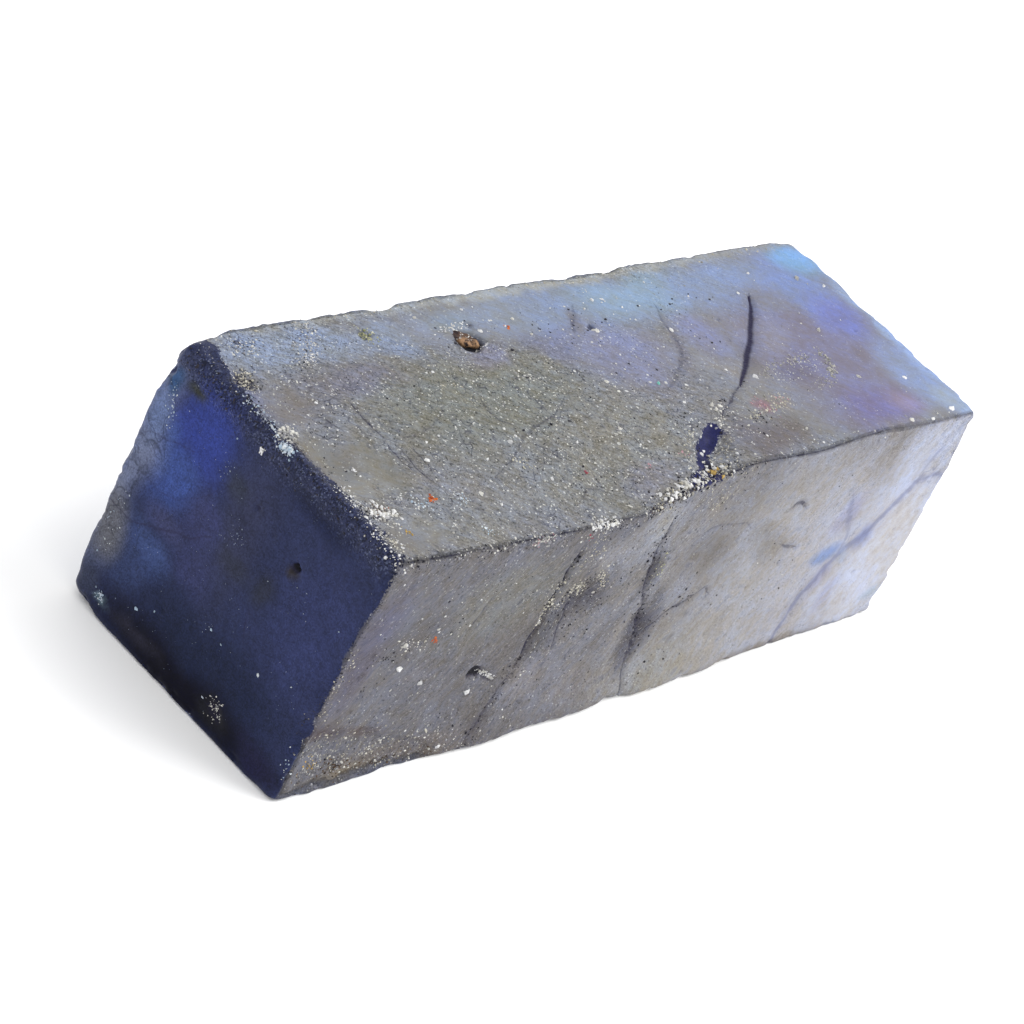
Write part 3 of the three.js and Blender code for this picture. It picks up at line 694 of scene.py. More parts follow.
# Each wash: its side, its middle and its two half-sizes in millimetres, its turn in degrees, and its colour.
SKIN_WASHES = {
    # the top: broad zones first, then the patches in them, from the near end to the far end
    "olive_middle": ("top", (-15, 1.0), (14, 6.5), 0, (0.25, 0.257, 0.232)),
    "olive_front": ("top", (-9, -7.0), (12, 4.5), 0, (0.28, 0.285, 0.28)),
    "blue_back": ("top", (3, 8.2), (12, 4.2), 0, (0.27, 0.33, 0.47)),
    "violet_middle": ("top", (3.0, 2.6), (6.2, 4.4), -12, (0.265, 0.282, 0.415)),
    "violet_by_long_crack": ("top", (13.2, 3.2), (3.0, 3.4), 20, (0.27, 0.29, 0.45)),
    "olive_by_side_crack": ("top", (9.4, 2.2), (3.8, 0.7), 62, (0.25, 0.25, 0.3)),
    "dusk_by_short_crack": ("top", (1.4, 6.8), (2.0, 0.6), 52, (0.25, 0.265, 0.35)),
    "sky_back": ("top", (11.5, 8.8), (9, 2.8), 0, (0.30, 0.41, 0.56)),
    "blue_far_back": ("top", (22, 7.6), (9, 3.6), 0, (0.275, 0.35, 0.54)),
    "lilac_right": ("top", (24, -1.0), (9.5, 9), 0, (0.235, 0.23, 0.345)),
    "far_back": ("top", (30, 6.5), (5, 5), 0, (0.235, 0.305, 0.55)),
    "blue_near_back": ("top", (-26.5, 9.0), (8.5, 2.6), 0, (0.31, 0.37, 0.5)),
    "sky_near_back": ("top", (-27.5, 8.8), (2.8, 1.3), 0, (0.33, 0.39, 0.52)),
    "near_edge_blue": ("top", (-33.6, 5.5), (1.0, 3.6), 0, (0.21, 0.23, 0.35)),
    "blue_behind_pit": ("top", (-17.6, 8.6), (3.2, 2.2), 0, (0.29, 0.34, 0.45)),
    "blue_by_rust": ("top", (-10.4, 9.6), (3.2, 1.6), 0, (0.29, 0.34, 0.42)),
    "violet_below_rust": ("top", (-10.0, 5.2), (3.0, 1.6), 0, (0.27, 0.275, 0.36)),
    "grey_gap": ("top", (-13.6, 7.2), (2.0, 3.0), 0, (0.29, 0.315, 0.39)),
    "pale_back": ("top", (-5.4, 9.2), (3.4, 2.2), 0, (0.29, 0.335, 0.43)),
    "blue_middle_back": ("top", (-3.4, 5.2), (3.4, 2.0), 0, (0.24, 0.265, 0.405)),
    "violet_olive_border": ("top", (-24, 5.2), (6, 1.6), 0, (0.235, 0.23, 0.27)),
    "grey_near": ("top", (-31, 4.0), (3.5, 2.2), 0, (0.235, 0.228, 0.245)),
    "near_hollow": ("top", (-32.0, -1.5), (2.3, 3.4), 10, (0.245, 0.235, 0.215)),
    # Painted shade in the near hollow, and a painted highlight on its rim.
    "near_hollow_shade": ("top", (-33.6, -1.6), (0.9, 3.0), 0, (0.225, 0.215, 0.21)),
    "hollow_rim_highlight": ("top", (-30.5, -4.4), (3.6, 1.6), 0, (0.30, 0.295, 0.28)),
    "taupe_near": ("top", (-28.4, -2.6), (1.8, 2.8), 0, (0.255, 0.252, 0.235)),
    "near_front_strip": ("top", (-26, -8.4), (9, 2.6), 0, (0.285, 0.29, 0.297)),
    "near_front_corner": ("top", (-32.4, -9.4), (2.2, 1.6), 0, (0.235, 0.232, 0.235)),
    "pale_dust": ("top", (-4, -4.0), (7, 3.4), -8, (0.288, 0.288, 0.275)),
    "lilac_front": ("top", (-5.5, -8.6), (4.0, 1.6), 8, (0.285, 0.285, 0.325)),
    "brown_front": ("top", (9.2, -7.9), (5.2, 2.6), 0, (0.19, 0.175, 0.19)),
    "grey_by_crack": ("top", (12.6, -0.6), (3.4, 1.4), -30, (0.30, 0.30, 0.33)),
    "grey_right": ("top", (24.4, 5.4), (3.0, 2.0), -20, (0.245, 0.25, 0.31)),
    "lilac_by_crack": ("top", (20.5, 2.0), (3.6, 2.2), 10, (0.285, 0.285, 0.385)),
    "dark_in_ring": ("top", (19.4, -2.4), (2.6, 1.2), 5, (0.2, 0.195, 0.29)),
    "pink_stain": ("top", (11.7, -4.9), (1.2, 0.8), 0, (0.30, 0.205, 0.25)),
    "straw_stain": ("top", (14.0, -4.9), (1.6, 0.8), 0, (0.29, 0.265, 0.26)),
    "violet_far": ("top", (30.6, 2.2), (3.8, 3.4), 10, (0.21, 0.24, 0.54)),
    "violet_front": ("top", (24, -7.6), (6.5, 3.2), 0, (0.215, 0.2, 0.38)),
    "purple_front": ("top", (27.8, -7.6), (2.6, 1.6), 0, (0.30, 0.265, 0.42)),
    "brown_spot": ("top", (28.7, -1.6), (1.6, 1.4), 0, (0.22, 0.2, 0.25)),
    "sky_far_front": ("top", (32.4, -5.5), (3.0, 5.5), 0, (0.285, 0.36, 0.58)),
    "far_front_corner": ("top", (33.6, -8.6), (1.8, 2.0), 0, (0.36, 0.44, 0.59)),
    # The far edge and the far back corner are paler and bluer: the stone's own blue with a painted glow of
    # light coming through the edge.
    "pale_far_edge_and_glow": ("top", (35.0, -1.0), (1.2, 10), 0, (0.33, 0.42, 0.63)),
    "sky_far_corner_and_glow": ("top", (33.0, 9.3), (2.8, 2.4), -30, (0.24, 0.43, 0.73)),
    "olive_back_edge": ("top", (0, 11.5), (36, 0.8), 0, (0.40, 0.42, 0.43)),
    # A painted shadow beside the inclusion, over the black rim of its pit.
    "shadow_and_dark_rim_by_rust": ("top", (-11.5, 6.8), (0.75, 0.5), 35, (0.045, 0.045, 0.07)),
    "dark_behind_rust": ("top", (-9.1, 8.2), (0.45, 0.35), 0, (0.06, 0.06, 0.09)),
    # the front, from the near end to the far end
    "grey_middle": ("front", (3, 9), (13, 15), 0, (0.31, 0.305, 0.325)),
    "pale_foot_middle": ("front", (7, 1.5), (10, 5), 0, (0.365, 0.35, 0.325)),
    # The front grows paler towards its far end: partly the stone's own lavender tone, partly a painted sheen
    # where the lamp's light glances off it.
    "pale_right_and_sheen": ("front", (14.5, 9), (9, 16), 0, (0.425, 0.42, 0.445)),
    "paler_right_and_sheen": ("front", (21.5, 7), (7, 16), 0, (0.475, 0.47, 0.515)),
    "lavender_far_and_sheen": ("front", (31.5, 8), (9.0, 16), 0, (0.61, 0.62, 0.71)),
    "blue_far_top_and_sheen": ("front", (30.5, 17.0), (6, 3.2), 0, (0.53, 0.56, 0.69)),
    "shade_middle_right": ("front", (12, 12.4), (4.5, 2.2), -18, (0.315, 0.3, 0.3)),
    "shade_middle": ("front", (3.5, 13.2), (3.2, 2.8), 0, (0.255, 0.25, 0.27)),
    "pale_above_crack": ("front", (-5.2, 17.0), (3.4, 2.8), 0, (0.39, 0.39, 0.405)),
    "pale_left_of_crack": ("front", (-8.8, 16.4), (3.4, 2.2), 0, (0.31, 0.308, 0.335)),
    "olive_upper": ("front", (-20, 14), (8, 4), 0, (0.235, 0.232, 0.228)),
    "lilac_near_edge": ("front", (-33.2, 13), (2.4, 7), 0, (0.16, 0.155, 0.215)),
    "dim_band": ("front", (-28, 13.2), (4.4, 2.0), 0, (0.175, 0.168, 0.18)),
    "dark_patch": ("front", (-10.4, 11.8), (3.3, 2.6), 25, (0.128, 0.122, 0.142)),
    "dark_patch_lower": ("front", (-12.8, 9.3), (2.6, 2.2), 40, (0.135, 0.13, 0.14)),
    "pale_low_left": ("front", (-12.6, 5.4), (3.4, 2.2), 20, (0.27, 0.262, 0.29)),
    "pale_low": ("front", (-7.5, 3.6), (4.5, 2.4), 0, (0.27, 0.262, 0.285)),
    "dark_by_long_crack": ("front", (-0.2, 6.6), (1.7, 4.2), -8, (0.15, 0.146, 0.17)),
    "dark_upper_crack": ("front", (-2.3, 12.2), (1.5, 2.8), -18, (0.16, 0.155, 0.17)),
    "dim_above_foot": ("front", (-4.8, 7.6), (2.4, 2.2), 0, (0.235, 0.228, 0.245)),
    "dark_knot": ("front", (-0.5, 7.3), (1.2, 1.4), 0, (0.105, 0.1, 0.118)),
    "dark_knot_above": ("front", (-2.3, 13.0), (0.9, 1.9), 18, (0.135, 0.13, 0.145)),
    "dark_fork": ("front", (-3.4, 10.3), (0.8, 0.5), 10, (0.18, 0.175, 0.19)),
    "dark_end_of_side_crack": ("front", (5.4, 6.9), (0.4, 0.5), 0, (0.23, 0.225, 0.24)),
    "dark_comma": ("front", (4.8, 4.8), (0.6, 0.4), 60, (0.24, 0.235, 0.25)),
    "pale_left_strip": ("front", (-26.0, 9.0), (2.2, 0.8), -10, (0.23, 0.22, 0.24)),
    "brown_ledge": ("front", (-33.2, 5.9), (2.6, 1.0), -12, (0.13, 0.11, 0.125)),
    "second_brown_ledge": ("front", (-29, 4.8), (2.8, 0.9), -14, (0.17, 0.145, 0.15)),
    "brown_foot": ("front", (-23, 1.2), (8, 1.5), -4, (0.21, 0.19, 0.19)),
    "straw_foot": ("front", (-29, 0.9), (2.6, 0.9), 0, (0.26, 0.23, 0.20)),
    "dark_foot_crack": ("front", (-16.4, 2.2), (1.4, 1.8), 0, (0.16, 0.152, 0.17)),
    "blue_branch_zone": ("front", (22.8, 12.4), (1.6, 2.2), -30, (0.43, 0.44, 0.59)),
    "blue_blotch": ("front", (22.6, 8.9), (2.3, 0.95), 8, (0.27, 0.345, 0.555)),
    "second_blue_blotch": ("front", (27.2, 9.5), (1.4, 1.2), 20, (0.37, 0.41, 0.63)),
    "blue_beside_seam": ("front", (25.2, 8.2), (1.2, 0.7), -30, (0.46, 0.51, 0.64)),
    "blue_below": ("front", (23.2, 6.2), (1.2, 1.5), -30, (0.42, 0.42, 0.55)),
    "violet_low": ("front", (25.6, 4.0), (1.2, 2.2), 0, (0.455, 0.465, 0.59)),
    "blue_low_far": ("front", (33.4, 2.5), (1.8, 0.9), 0, (0.48, 0.54, 0.66)),
    "brown_foot_right": ("front", (18, 0.4), (12, 0.6), 0, (0.31, 0.285, 0.27)),
    # the other faces
    "back_sky": ("back", (20, 14), (16, 8), 0, (0.22, 0.32, 0.52)),
    "back_grey": ("back", (-8, 6), (14, 8), 0, (0.20, 0.205, 0.26)),
    "back_teal_top": ("back", (-10, 19), (18, 3), 0, (0.27, 0.34, 0.42)),
    "back_lilac": ("back", (-27, 10), (8, 9), 0, (0.20, 0.22, 0.33)),
    "far_sky": ("far", (5, 15), (8, 6), 0, (0.28, 0.42, 0.70)),
    "far_lavender": ("far", (-6, 6), (7, 7), 0, (0.46, 0.48, 0.62)),
    "under_grey": ("under", (-10, 0), (20, 9), 0, (0.20, 0.20, 0.22)),
}

# %% Colours of the bare stone
# The bare stone's colours are written duller than they are, and painted this much bluer.
BARE_PAINT = (1.05, 1.12, 1.25)
BARE_BASE = (0.014, 0.018, 0.048)
BARE_WASHES = {
    "navy_right": ("near", (-8.0, 12.5), (4.0, 6.5), 0, (0.0175, 0.022, 0.062)),
    "dark_middle": ("near", (0.5, 14.0), (2.8, 6.5), 0, (0.0185, 0.0205, 0.045)),
    # A painted glow of light that comes through the stone and brightens the near end's upper back corner.
    "blue_glow": ("near", (6.6, 17.6), (4.2, 4.2), 0, (0.017, 0.028, 0.133)),
    "blue_glow_low": ("near", (7.8, 13.2), (2.8, 3.0), 0, (0.027, 0.047, 0.153)),
    "sky_glow": ("near", (9.0, 14.6), (1.1, 2.4), 0, (0.031, 0.053, 0.153)),
    "violet_middle": ("near", (4.0, 12.2), (2.4, 2.4), 0, (0.022, 0.025, 0.070)),
    "dim_between": ("near", (6.6, 10.1), (2.4, 1.2), 10, (0.029, 0.032, 0.076)),
    "blue_low_middle": ("near", (6.8, 7.2), (2.6, 2.4), 0, (0.029, 0.044, 0.11)),
    "violet_low": ("near", (3.0, 8.8), (2.2, 2.2), 0, (0.022, 0.025, 0.067)),
    "olive_spot": ("near", (2.6, 16.4), (1.4, 1.0), 30, (0.017, 0.0195, 0.034)),
    "olive_centre": ("near", (-0.2, 11.7), (1.8, 1.0), 0, (0.0165, 0.0185, 0.034)),
    "olive_right": ("near", (-3.0, 12.0), (1.6, 1.4), 0, (0.0145, 0.0165, 0.030)),
    "halo_under_pit": ("near", (-4.3, 14.7), (0.7, 0.5), 0, (0.02, 0.016, 0.017)),
    "dark_upper_right": ("near", (-4.6, 19.4), (3.6, 1.5), 0, (0.005, 0.0075, 0.026)),
    # Painted shade: the near end darkens towards the floor, most at its foot.
    "lower_shade": ("near", (-1.5, 4.4), (9.5, 3.4), 0, (0.007, 0.0105, 0.029)),
    "foot": ("near", (0.0, 1.3), (11.5, 2.4), 0, (0.0005, 0.0005, 0.005)),
    "blue_low_left": ("near", (8.2, 5.0), (2.5, 2.3), 0, (0.02, 0.029, 0.073)),
    "brown_foot_spot": ("near", (-3.6, 1.8), (1.8, 1.0), 0, (0.0062, 0.0060, 0.0085)),
    "brown_foot_left": ("near", (4.6, 1.6), (3.0, 0.8), 0, (0.012, 0.011, 0.019)),
    "navy_foot_right": ("near", (-8.8, 2.0), (2.4, 1.8), 0, (0.0077, 0.0077, 0.025)),
    "teal_strip": ("near", (11.3, 11.5), (2.5, 9.5), 0, (0.092, 0.102, 0.15)),
    "teal_strip_top": ("near", (10.8, 16.0), (1.2, 2.6), 0, (0.076, 0.098, 0.17)),
    "teal_corner": ("near", (10.7, 19.0), (1.1, 1.1), 0, (0.018, 0.045, 0.1)),
    "grey_low_strip": ("near", (11.0, 6.5), (1.8, 3.2), 0, (0.08, 0.078, 0.086)),
    "green_corner": ("near", (8.5, 19.6), (1.2, 0.6), 0, (0.018, 0.019, 0.014)),
    "dark_low_left": ("near", (10.4, 2.4), (1.2, 1.2), 0, (0.024, 0.028, 0.050)),
    "white_chip": ("near", (8.6, 1.6), (0.75, 0.45), 0, (0.1, 0.135, 0.145)),
}
RIM_COLOUR = (0.026, 0.03, 0.065)
RIM_SHARE = 0.65
NOTCH_COLOUR = (0.0105, 0.0120, 0.060)
WASH_EDGE = (0.3, 1.25)
WASH_RAGGED = 1.1

# %% [markdown]
# Where the skin ends is kept as a signed distance too, so that the material can make the border as sharp and
# as ragged as a real one. Below nought the stone is bare: on the near end, on its worn top edge, and in the
# notch of the top's front edge.

# %% Paint the vertices
# How far the bare stone reaches onto the top, along the near end's top edge.
BARE_RIM_Y = (-11.5, -10, -8, -6, -3, -1, 0.5, 2, 4, 6, 8, 10, 11.5)
BARE_RIM_WIDTH = (0.5, 0.7, 0.8, 1.0, 1.2, 1.0, 0.7, 0.4, 0.6, 1.2, 1.5, 1.8, 1.9)
RIM_WANDER = 0.28
NICK_DEPTH = 0.4
NOTCH = [
    (3.2, -5.7), (3.9, -5.5), (4.9, -5.7), (5.0, -6.3), (4.6, -6.8), (3.8, -7.1), (2.9, -7.5), (2.0, -8.1),
    (1.1, -8.8), (0.8, -9.4), (1.0, -9.9), (0.8, -10.7), (-1.2, -10.7), (-2.4, -10.6), (-2.6, -10.0),
    (-2.0, -9.4), (-0.8, -9.0), (-0.2, -8.4), (0.4, -7.7), (1.3, -6.9), (2.4, -6.3),
]
NOTCH_RAGGED = 0.22


def laid_over(colour, share, paint):
    """The colour with a share of a paint laid over it."""
    return colour + share[:, None] * (np.array(paint) - colour)


def near_rim(depth, low, high):
    """1 along the near end's top edge. It fades out where a point's two depths add up to more than low."""
    by_edge = 1 - smoothstep(depth["near"] + depth["top"], low, high)
    return by_edge * smoothstep(depth["back"], 0.6, 2.0)


def washed(at, depth, base, washes):
    """The base colour with the washes laid over it in order."""
    colour = np.array(base, float) * np.ones((len(at), 1))
    for side, centre, size, turn, paint in washes.values():
        ragged = min(WASH_RAGGED, min(size) / 2)
        away, there = ellipse(at, depth, side, centre, size, turn, ragged)
        colour = laid_over(colour, there * (1 - smoothstep(away, *WASH_EDGE)), paint)
    return colour


def skin_colour(at, depth):
    """The colour that the frosted skin has at each point."""
    weights = {side: on_side(side, depth) for side in SIDES}
    total = sum(weights.values())
    base = sum(weights[side][:, None] * np.array(SKIN_BASE[side]) for side in SIDES) / total[:, None]
    return SKIN_PAINT * washed(at, depth, base, SKIN_WASHES)


def inside_outline(drawn, outline):
    """For points of a plane: how far they are inside a closed outline, and less than nought outside it."""
    inside = np.zeros(len(drawn), bool)
    for start, end in zip(outline, outline[1:] + outline[:1]):
        crosses = (start[1] > drawn[:, 1]) != (end[1] > drawn[:, 1])
        level = (drawn[:, 1] - start[1]) / (end[1] - start[1] + 1e-9)
        inside ^= crosses & (drawn[:, 0] < start[0] + level * (end[0] - start[0]))
    away = np.abs(signed_distance(drawn, outline + outline[:1])[0])
    return np.where(inside, away, -away)


def skin_distance(at, depth):
    """How far each point is inside the frosted skin, in millimetres; below nought, the stone is bare."""
    others = np.min([values for side, values in depth.items() if side != "near"], axis=0)
    past_end = depth["near"] - others
    by_top = smoothstep(depth["front"] - depth["top"], -0.6, 0.6) * smoothstep(depth["back"], 0.0, 0.6)
    width = np.interp(at[:, 1], BARE_RIM_Y, BARE_RIM_WIDTH)
    border = past_end - width * by_top + RIM_WANDER * rough_noise(at, 1.6, 2, seed=71)
    border -= NICK_DEPTH * smoothstep(noise(at, 0.7, 78), 0.1, 0.8)
    shaken = at[:, :2] + NOTCH_RAGGED * np.stack([noise(at, 0.7, seed) for seed in (75, 76)], axis=1)
    notch = inside_outline(shaken, NOTCH)
    border = np.where(on_side("top", depth, 1.0) > 0.1, np.minimum(border, -notch), border)
    return np.clip(border, -4, 4)


def bare_colour(at, depth):
    """The deep colour that the bare stone has at each point."""
    colour = np.array(BARE_PAINT) * washed(at, depth, BARE_BASE, BARE_WASHES)
    notch = smoothstep(depth["near"], 2.0, 4.0)
    shade = 1 - 0.75 * smoothstep(rough_noise(at, 1.1, 2, seed=77), -0.1, 0.7)
    colour = laid_over(colour, RIM_SHARE * near_rim(depth, 0.6, 2.2), RIM_COLOUR)
    colour = laid_over(colour, notch, NOTCH_COLOUR)
    return colour * np.where(notch > 0.5, shade, 1)[:, None]


def keep(piece, name, values):
    """Stores one number or one vector for each of a piece's vertices, under a name."""
    kind = "FLOAT" if values.ndim == 1 else "FLOAT_VECTOR"
    stored = piece.data.attributes.new(name, kind, "POINT")
    stored.data.foreach_set("value" if kind == "FLOAT" else "vector", values.astype(np.float32).ravel())


at = read_vectors(stone.data.vertices, "co") / MM
depth = depths_under(PLANES, at)
crack_widths, crack_strength, crack_blue, groove = crack_fields(at, depth)
upright = on_side("front", depth) + on_side("back", depth)
past_front_edge = np.clip(depth["front"] - depth["top"], -3, 3)
by_front_edge = 1 - smoothstep(np.maximum(depth["front"], depth["top"]), 1.4, 2.4)
by_front_edge *= smoothstep(depth["near"], 0.3, 1.2) * (1 - 0.6 * smoothstep(at[:, 0], 8, 30))
grit_bed = near_rim(depth, 0.8, 2.6)
pits = named_depth(at, depth, PITS, PIT_WALL) + small_pit_depth(at, depth)
keep(stone, "skin_colour", skin_colour(at, depth))
keep(stone, "bare_colour", bare_colour(at, depth))
keep(stone, "skin", skin_distance(at, depth))
keep(stone, "crack", np.stack([crack_widths, crack_strength, crack_blue], axis=1))
keep(stone, "surface", np.stack([rubbed_smooth(at, depth), upright, grit_bed], axis=1))
keep(stone, "edge", np.stack([past_front_edge, pits, by_front_edge], axis=1))
print("painted", len(at), "vertices;", round(float((skin_distance(at, depth) < 0).mean()) * 100, 1), "% bare")

# %% [markdown]
# ## Sums in a material
#
# A material is a network of nodes. This small class wraps one output socket, so that sums on it read like
# sums in Python: each operator adds a Math node. Any other node is made by `node`, which takes its settings
# first and then what goes into its sockets.

# %% Shader maths
SEED_STEP = 17.3


class Shade:
    """An output socket of a material that can be used in sums."""

    def __init__(self, tree, socket=None):
        self.tree = tree
        self.socket = socket

    def node(self, kind, settings=None, inputs=None, output=0):
        """A node of any type: its settings, then values or links for its sockets. Gives one output."""
        made = self.tree.nodes.new(kind)
        for name, value in (settings or {}).items():
            setattr(made, name, value)
        for name, value in (inputs or {}).items():
            if isinstance(value, Shade):
                self.tree.links.new(value.socket, made.inputs[name])
            else:
                made.inputs[name].default_value = value
        return Shade(self.tree, made.outputs[output] if made.outputs else None)

    def place(self):
        """Places on the piece, in millimetres."""
        return self.node("ShaderNodeTexCoord", output="Object").scaled(1 / MM)

    def kept(self, name, output="Vector"):
        """What `keep` stored on the mesh under a name."""
        return self.node("ShaderNodeAttribute", {"attribute_name": name}, output=output)

    def math(self, operation, first, second=0.0):
        """A Math node on two numbers or sockets."""
        return self.node("ShaderNodeMath", {"operation": operation}, {0: first, 1: second})

    def __add__(self, other):
        return self.math("ADD", self, other)

    def __radd__(self, other):
        return self.math("ADD", other, self)

    def __sub__(self, other):
        return self.math("SUBTRACT", self, other)

    def __rsub__(self, other):
        return self.math("SUBTRACT", other, self)

    def __mul__(self, other):
        return self.math("MULTIPLY", self, other)

    def __rmul__(self, other):
        return self.math("MULTIPLY", other, self)

    def __abs__(self):
        return self.math("ABSOLUTE", self)

    def larger(self, other):
        """The larger of this and another number."""
        return self.math("MAXIMUM", self, other)

    def step(self, low, high):
        """0 at low, 1 at high, and a smooth change between, whichever of the two is larger."""
        sockets = {"Value": self, "From Min": low, "From Max": high}
        return self.node("ShaderNodeMapRange", {"interpolation_type": "SMOOTHSTEP"}, sockets)

    def part(self, axis):
        """One part of a vector, X, Y or Z, as a number."""
        return self.node("ShaderNodeSeparateXYZ", inputs={"Vector": self}, output=axis)

    def scaled(self, amount):
        """A vector or colour, all of it times a number."""
        return self.node("ShaderNodeVectorMath", {"operation": "SCALE"}, {0: self, "Scale": amount})

    def mixed(self, other, share):
        """This colour with a share of another mixed in."""
        return self.node("ShaderNodeMix", {"data_type": "RGBA"}, {0: share, 6: self, 7: other}, output=2)

    def turned(self, turn, stretch=(1, 1, 1)):
        """Coordinates turned by angles in degrees, then stretched: streaks come out along small numbers."""
        angles = tuple(math.radians(angle) for angle in turn)
        turned = self.node("ShaderNodeMapping", inputs={"Vector": self, "Rotation": angles})
        return turned.node("ShaderNodeMapping", inputs={"Vector": turned, "Scale": stretch})

    def cloud(self, size, detail=2.0, seed=0):
        """Noise of this size over these coordinates, from about -1 to 1."""
        shift = tuple(SEED_STEP * seed for _ in "XYZ")
        moved = self.node("ShaderNodeVectorMath", {"operation": "ADD"}, {0: self, 1: shift})
        raw = moved.node("ShaderNodeTexNoise", inputs={"Vector": moved, "Scale": 1 / size, "Detail": detail})
        return 4 * (raw - 0.5)

    def cells(self, spacing):
        """Small cells: chance is a random number for each, and spot is 1 in its middle, large or small."""
        away = self.node("ShaderNodeTexVoronoi", inputs={"Vector": self, "Scale": 1 / spacing})
        chances = Shade(self.tree, away.socket.node.outputs["Color"])
        width = chances.part("Y") * chances.part("Z")
        return {"chance": chances.part("X"), "spot": (away - 0.30 * width).step(0.17, 0.09)}


def new_material(name):
    """An empty material, and the Shade that adds nodes to it."""
    material = bpy.data.materials.new(name)
    material.use_nodes = True
    material.node_tree.nodes.clear()
    return material, Shade(material.node_tree)


def finish_material(canvas, sockets, relief, strength, distance):
    """Ends a material: a Principled shader with these sockets, and a bump of the given relief."""
    settings = {"Height": relief, "Strength": strength, "Distance": distance * MM}
    bump = canvas.node("ShaderNodeBump", inputs=settings)
    shader = canvas.node("ShaderNodeBsdfPrincipled", inputs={**sockets, "Normal": bump})
    canvas.node("ShaderNodeOutputMaterial", inputs={"Surface": shader})


# %% [markdown]
# ## The stone's finish
#
# Light goes a little way into corundum before it comes out again, so a fifth of the shading is scattering
# below the surface. The skin is a coat of fine scratches, pores and bright flecks, partly pale grains and
# partly painted glints: its brightness changes from grain to grain, along the silk of the top and the ribs
# of the front. Bare stone is smoother and darker, with painted glints on its worn edge, and the pits get
# painted shade. Few textures do all of this, each used several times, because every texture costs
# render time.

# %% Material of the stone
FLECK_AND_GLINT = (0.56, 0.56, 0.54, 1)
WARM = (1.07, 1.01, 0.89)
COOL = (0.93, 0.99, 1.11)
PORE = (0.022, 0.022, 0.030, 1)
SMUDGE = (0.050, 0.048, 0.062, 1)
PIT_SHADE = (0.004, 0.004, 0.006, 1)
DARK_LINE = (0.013, 0.011, 0.034, 1)
BLUE_LINE = (0.12, 0.135, 0.235, 1)
VEIN = (0.006, 0.008, 0.018, 1)
RIM_GLINT = (0.10, 0.12, 0.19, 1)
# The net of hairlines: its cells to the millimetre, and how much its lines are bent.
CRACKLE_SCALE = 0.38
BEND_SCALE = 0.5
CRACKLE_BEND = (4, 4, 4)
CORUNDUM_IOR = 1.77
GLOSS = 0.05
SCATTER_SHARE = 0.2
SCATTER_REACH = (0.7, 0.8, 1.4)
GRAIN_BUMP = 0.17


def crackle(place):
    """How far a place is from the nearest line of a net of bent hairlines."""
    bends = {"Vector": place, "Scale": BEND_SCALE, "Detail": 1.0}
    wobble = place.node("ShaderNodeTexNoise", inputs=bends, output="Color")
    bending = {0: wobble, 1: CRACKLE_BEND, 2: place}
    bent = wobble.node("ShaderNodeVectorMath", {"operation": "MULTIPLY_ADD"}, bending)
    net = {"Vector": bent, "Scale": CRACKLE_SCALE}
    return bent.node("ShaderNodeTexVoronoi", {"feature": "DISTANCE_TO_EDGE"}, net)


def mottled_skin(canvas, colour, to_line, smooth, upright, cloud, blotch, streaks, fibres, fine, coarse):
    """The frosted skin: clouds, grain, streaks, pores, and bright flecks that are partly painted glints.
    Gives its colour.
    """
    rough = (1 - 0.88 * smooth) * (1 - 0.3 * upright)
    light = 1 + 0.11 * cloud + (0.08 + 0.04 * upright) * blotch
    light = light + (0.085 + 0.05 * upright) * (1 - 0.85 * smooth) * streaks
    light = light + rough * (0.62 * (fine["chance"] - 0.5) + (0.24 - 0.12 * upright) * fibres)
    warm, cool = (canvas.node("ShaderNodeCombineXYZ", inputs=dict(zip("XYZ", tint))) for tint in (WARM, COOL))
    tint = warm.mixed(cool, (0.9 * cloud + 0.7 * blotch + 0.5 * fibres).step(-1.2, 1.2))
    skin = colour.node("ShaderNodeVectorMath", {"operation": "MULTIPLY"}, {0: colour, 1: tint})
    skin = skin.scaled(light.larger(0.2))
    smudges = (streaks + 0.9 * blotch + 0.4 * fibres).step(0.45, 1.5) * upright * (1 - smooth)
    skin = skin.mixed(SMUDGE, 0.62 * smudges)
    hairlines = (1 - to_line.step(0.0, 0.034)) * (cloud + 0.7 * blotch).step(-0.5, 0.7)
    skin = skin.mixed(DARK_LINE, 0.6 * hairlines * rough * (1 - upright))
    crowd = cloud.step(-1.0, 0.8)
    # The bright flecks are partly pale grains and partly painted glints.
    flecks = fine["chance"].step(0.972, 0.984).larger(coarse["spot"] * coarse["chance"].step(0.94, 0.96))
    pores = fine["chance"].step(0.045, 0.025).larger(coarse["spot"] * coarse["chance"].step(0.13, 0.11))
    pores = pores * rough * (0.35 + 0.65 * crowd)
    skin = skin.mixed(FLECK_AND_GLINT, rough * flecks * (0.35 + 0.6 * crowd) * (1 - 0.45 * upright))
    return skin.mixed(PORE, 0.85 * pores)


def mottled_bare(colour, to_line, grit_bed, cloud, blotch, fibres, fine):
    """The bare stone: smoky clouds, hairline veins where it is pale, and dark grit and painted glints on its
    worn edge.
    """
    light = 1 + 0.15 * cloud + 0.14 * blotch + 0.6 * (fine["chance"] - 0.5) + 0.08 * fibres
    veins = (1 - to_line.step(0.0, 0.05)) * cloud.step(-0.7, 0.5)
    pale = colour.part("Y").step(0.026, 0.06)
    bare = colour.scaled(light.larger(0.2)).mixed(VEIN, veins * (0.18 + 0.34 * pale))
    bare = bare.mixed(VEIN, 0.7 * grit_bed * (fine["chance"] - 0.2 * fibres).step(0.36, 0.24))
    # Painted glints along the worn edge.
    return bare.mixed(RIM_GLINT, 0.5 * grit_bed * (fine["chance"] + 0.1 * blotch).step(0.86, 0.95))


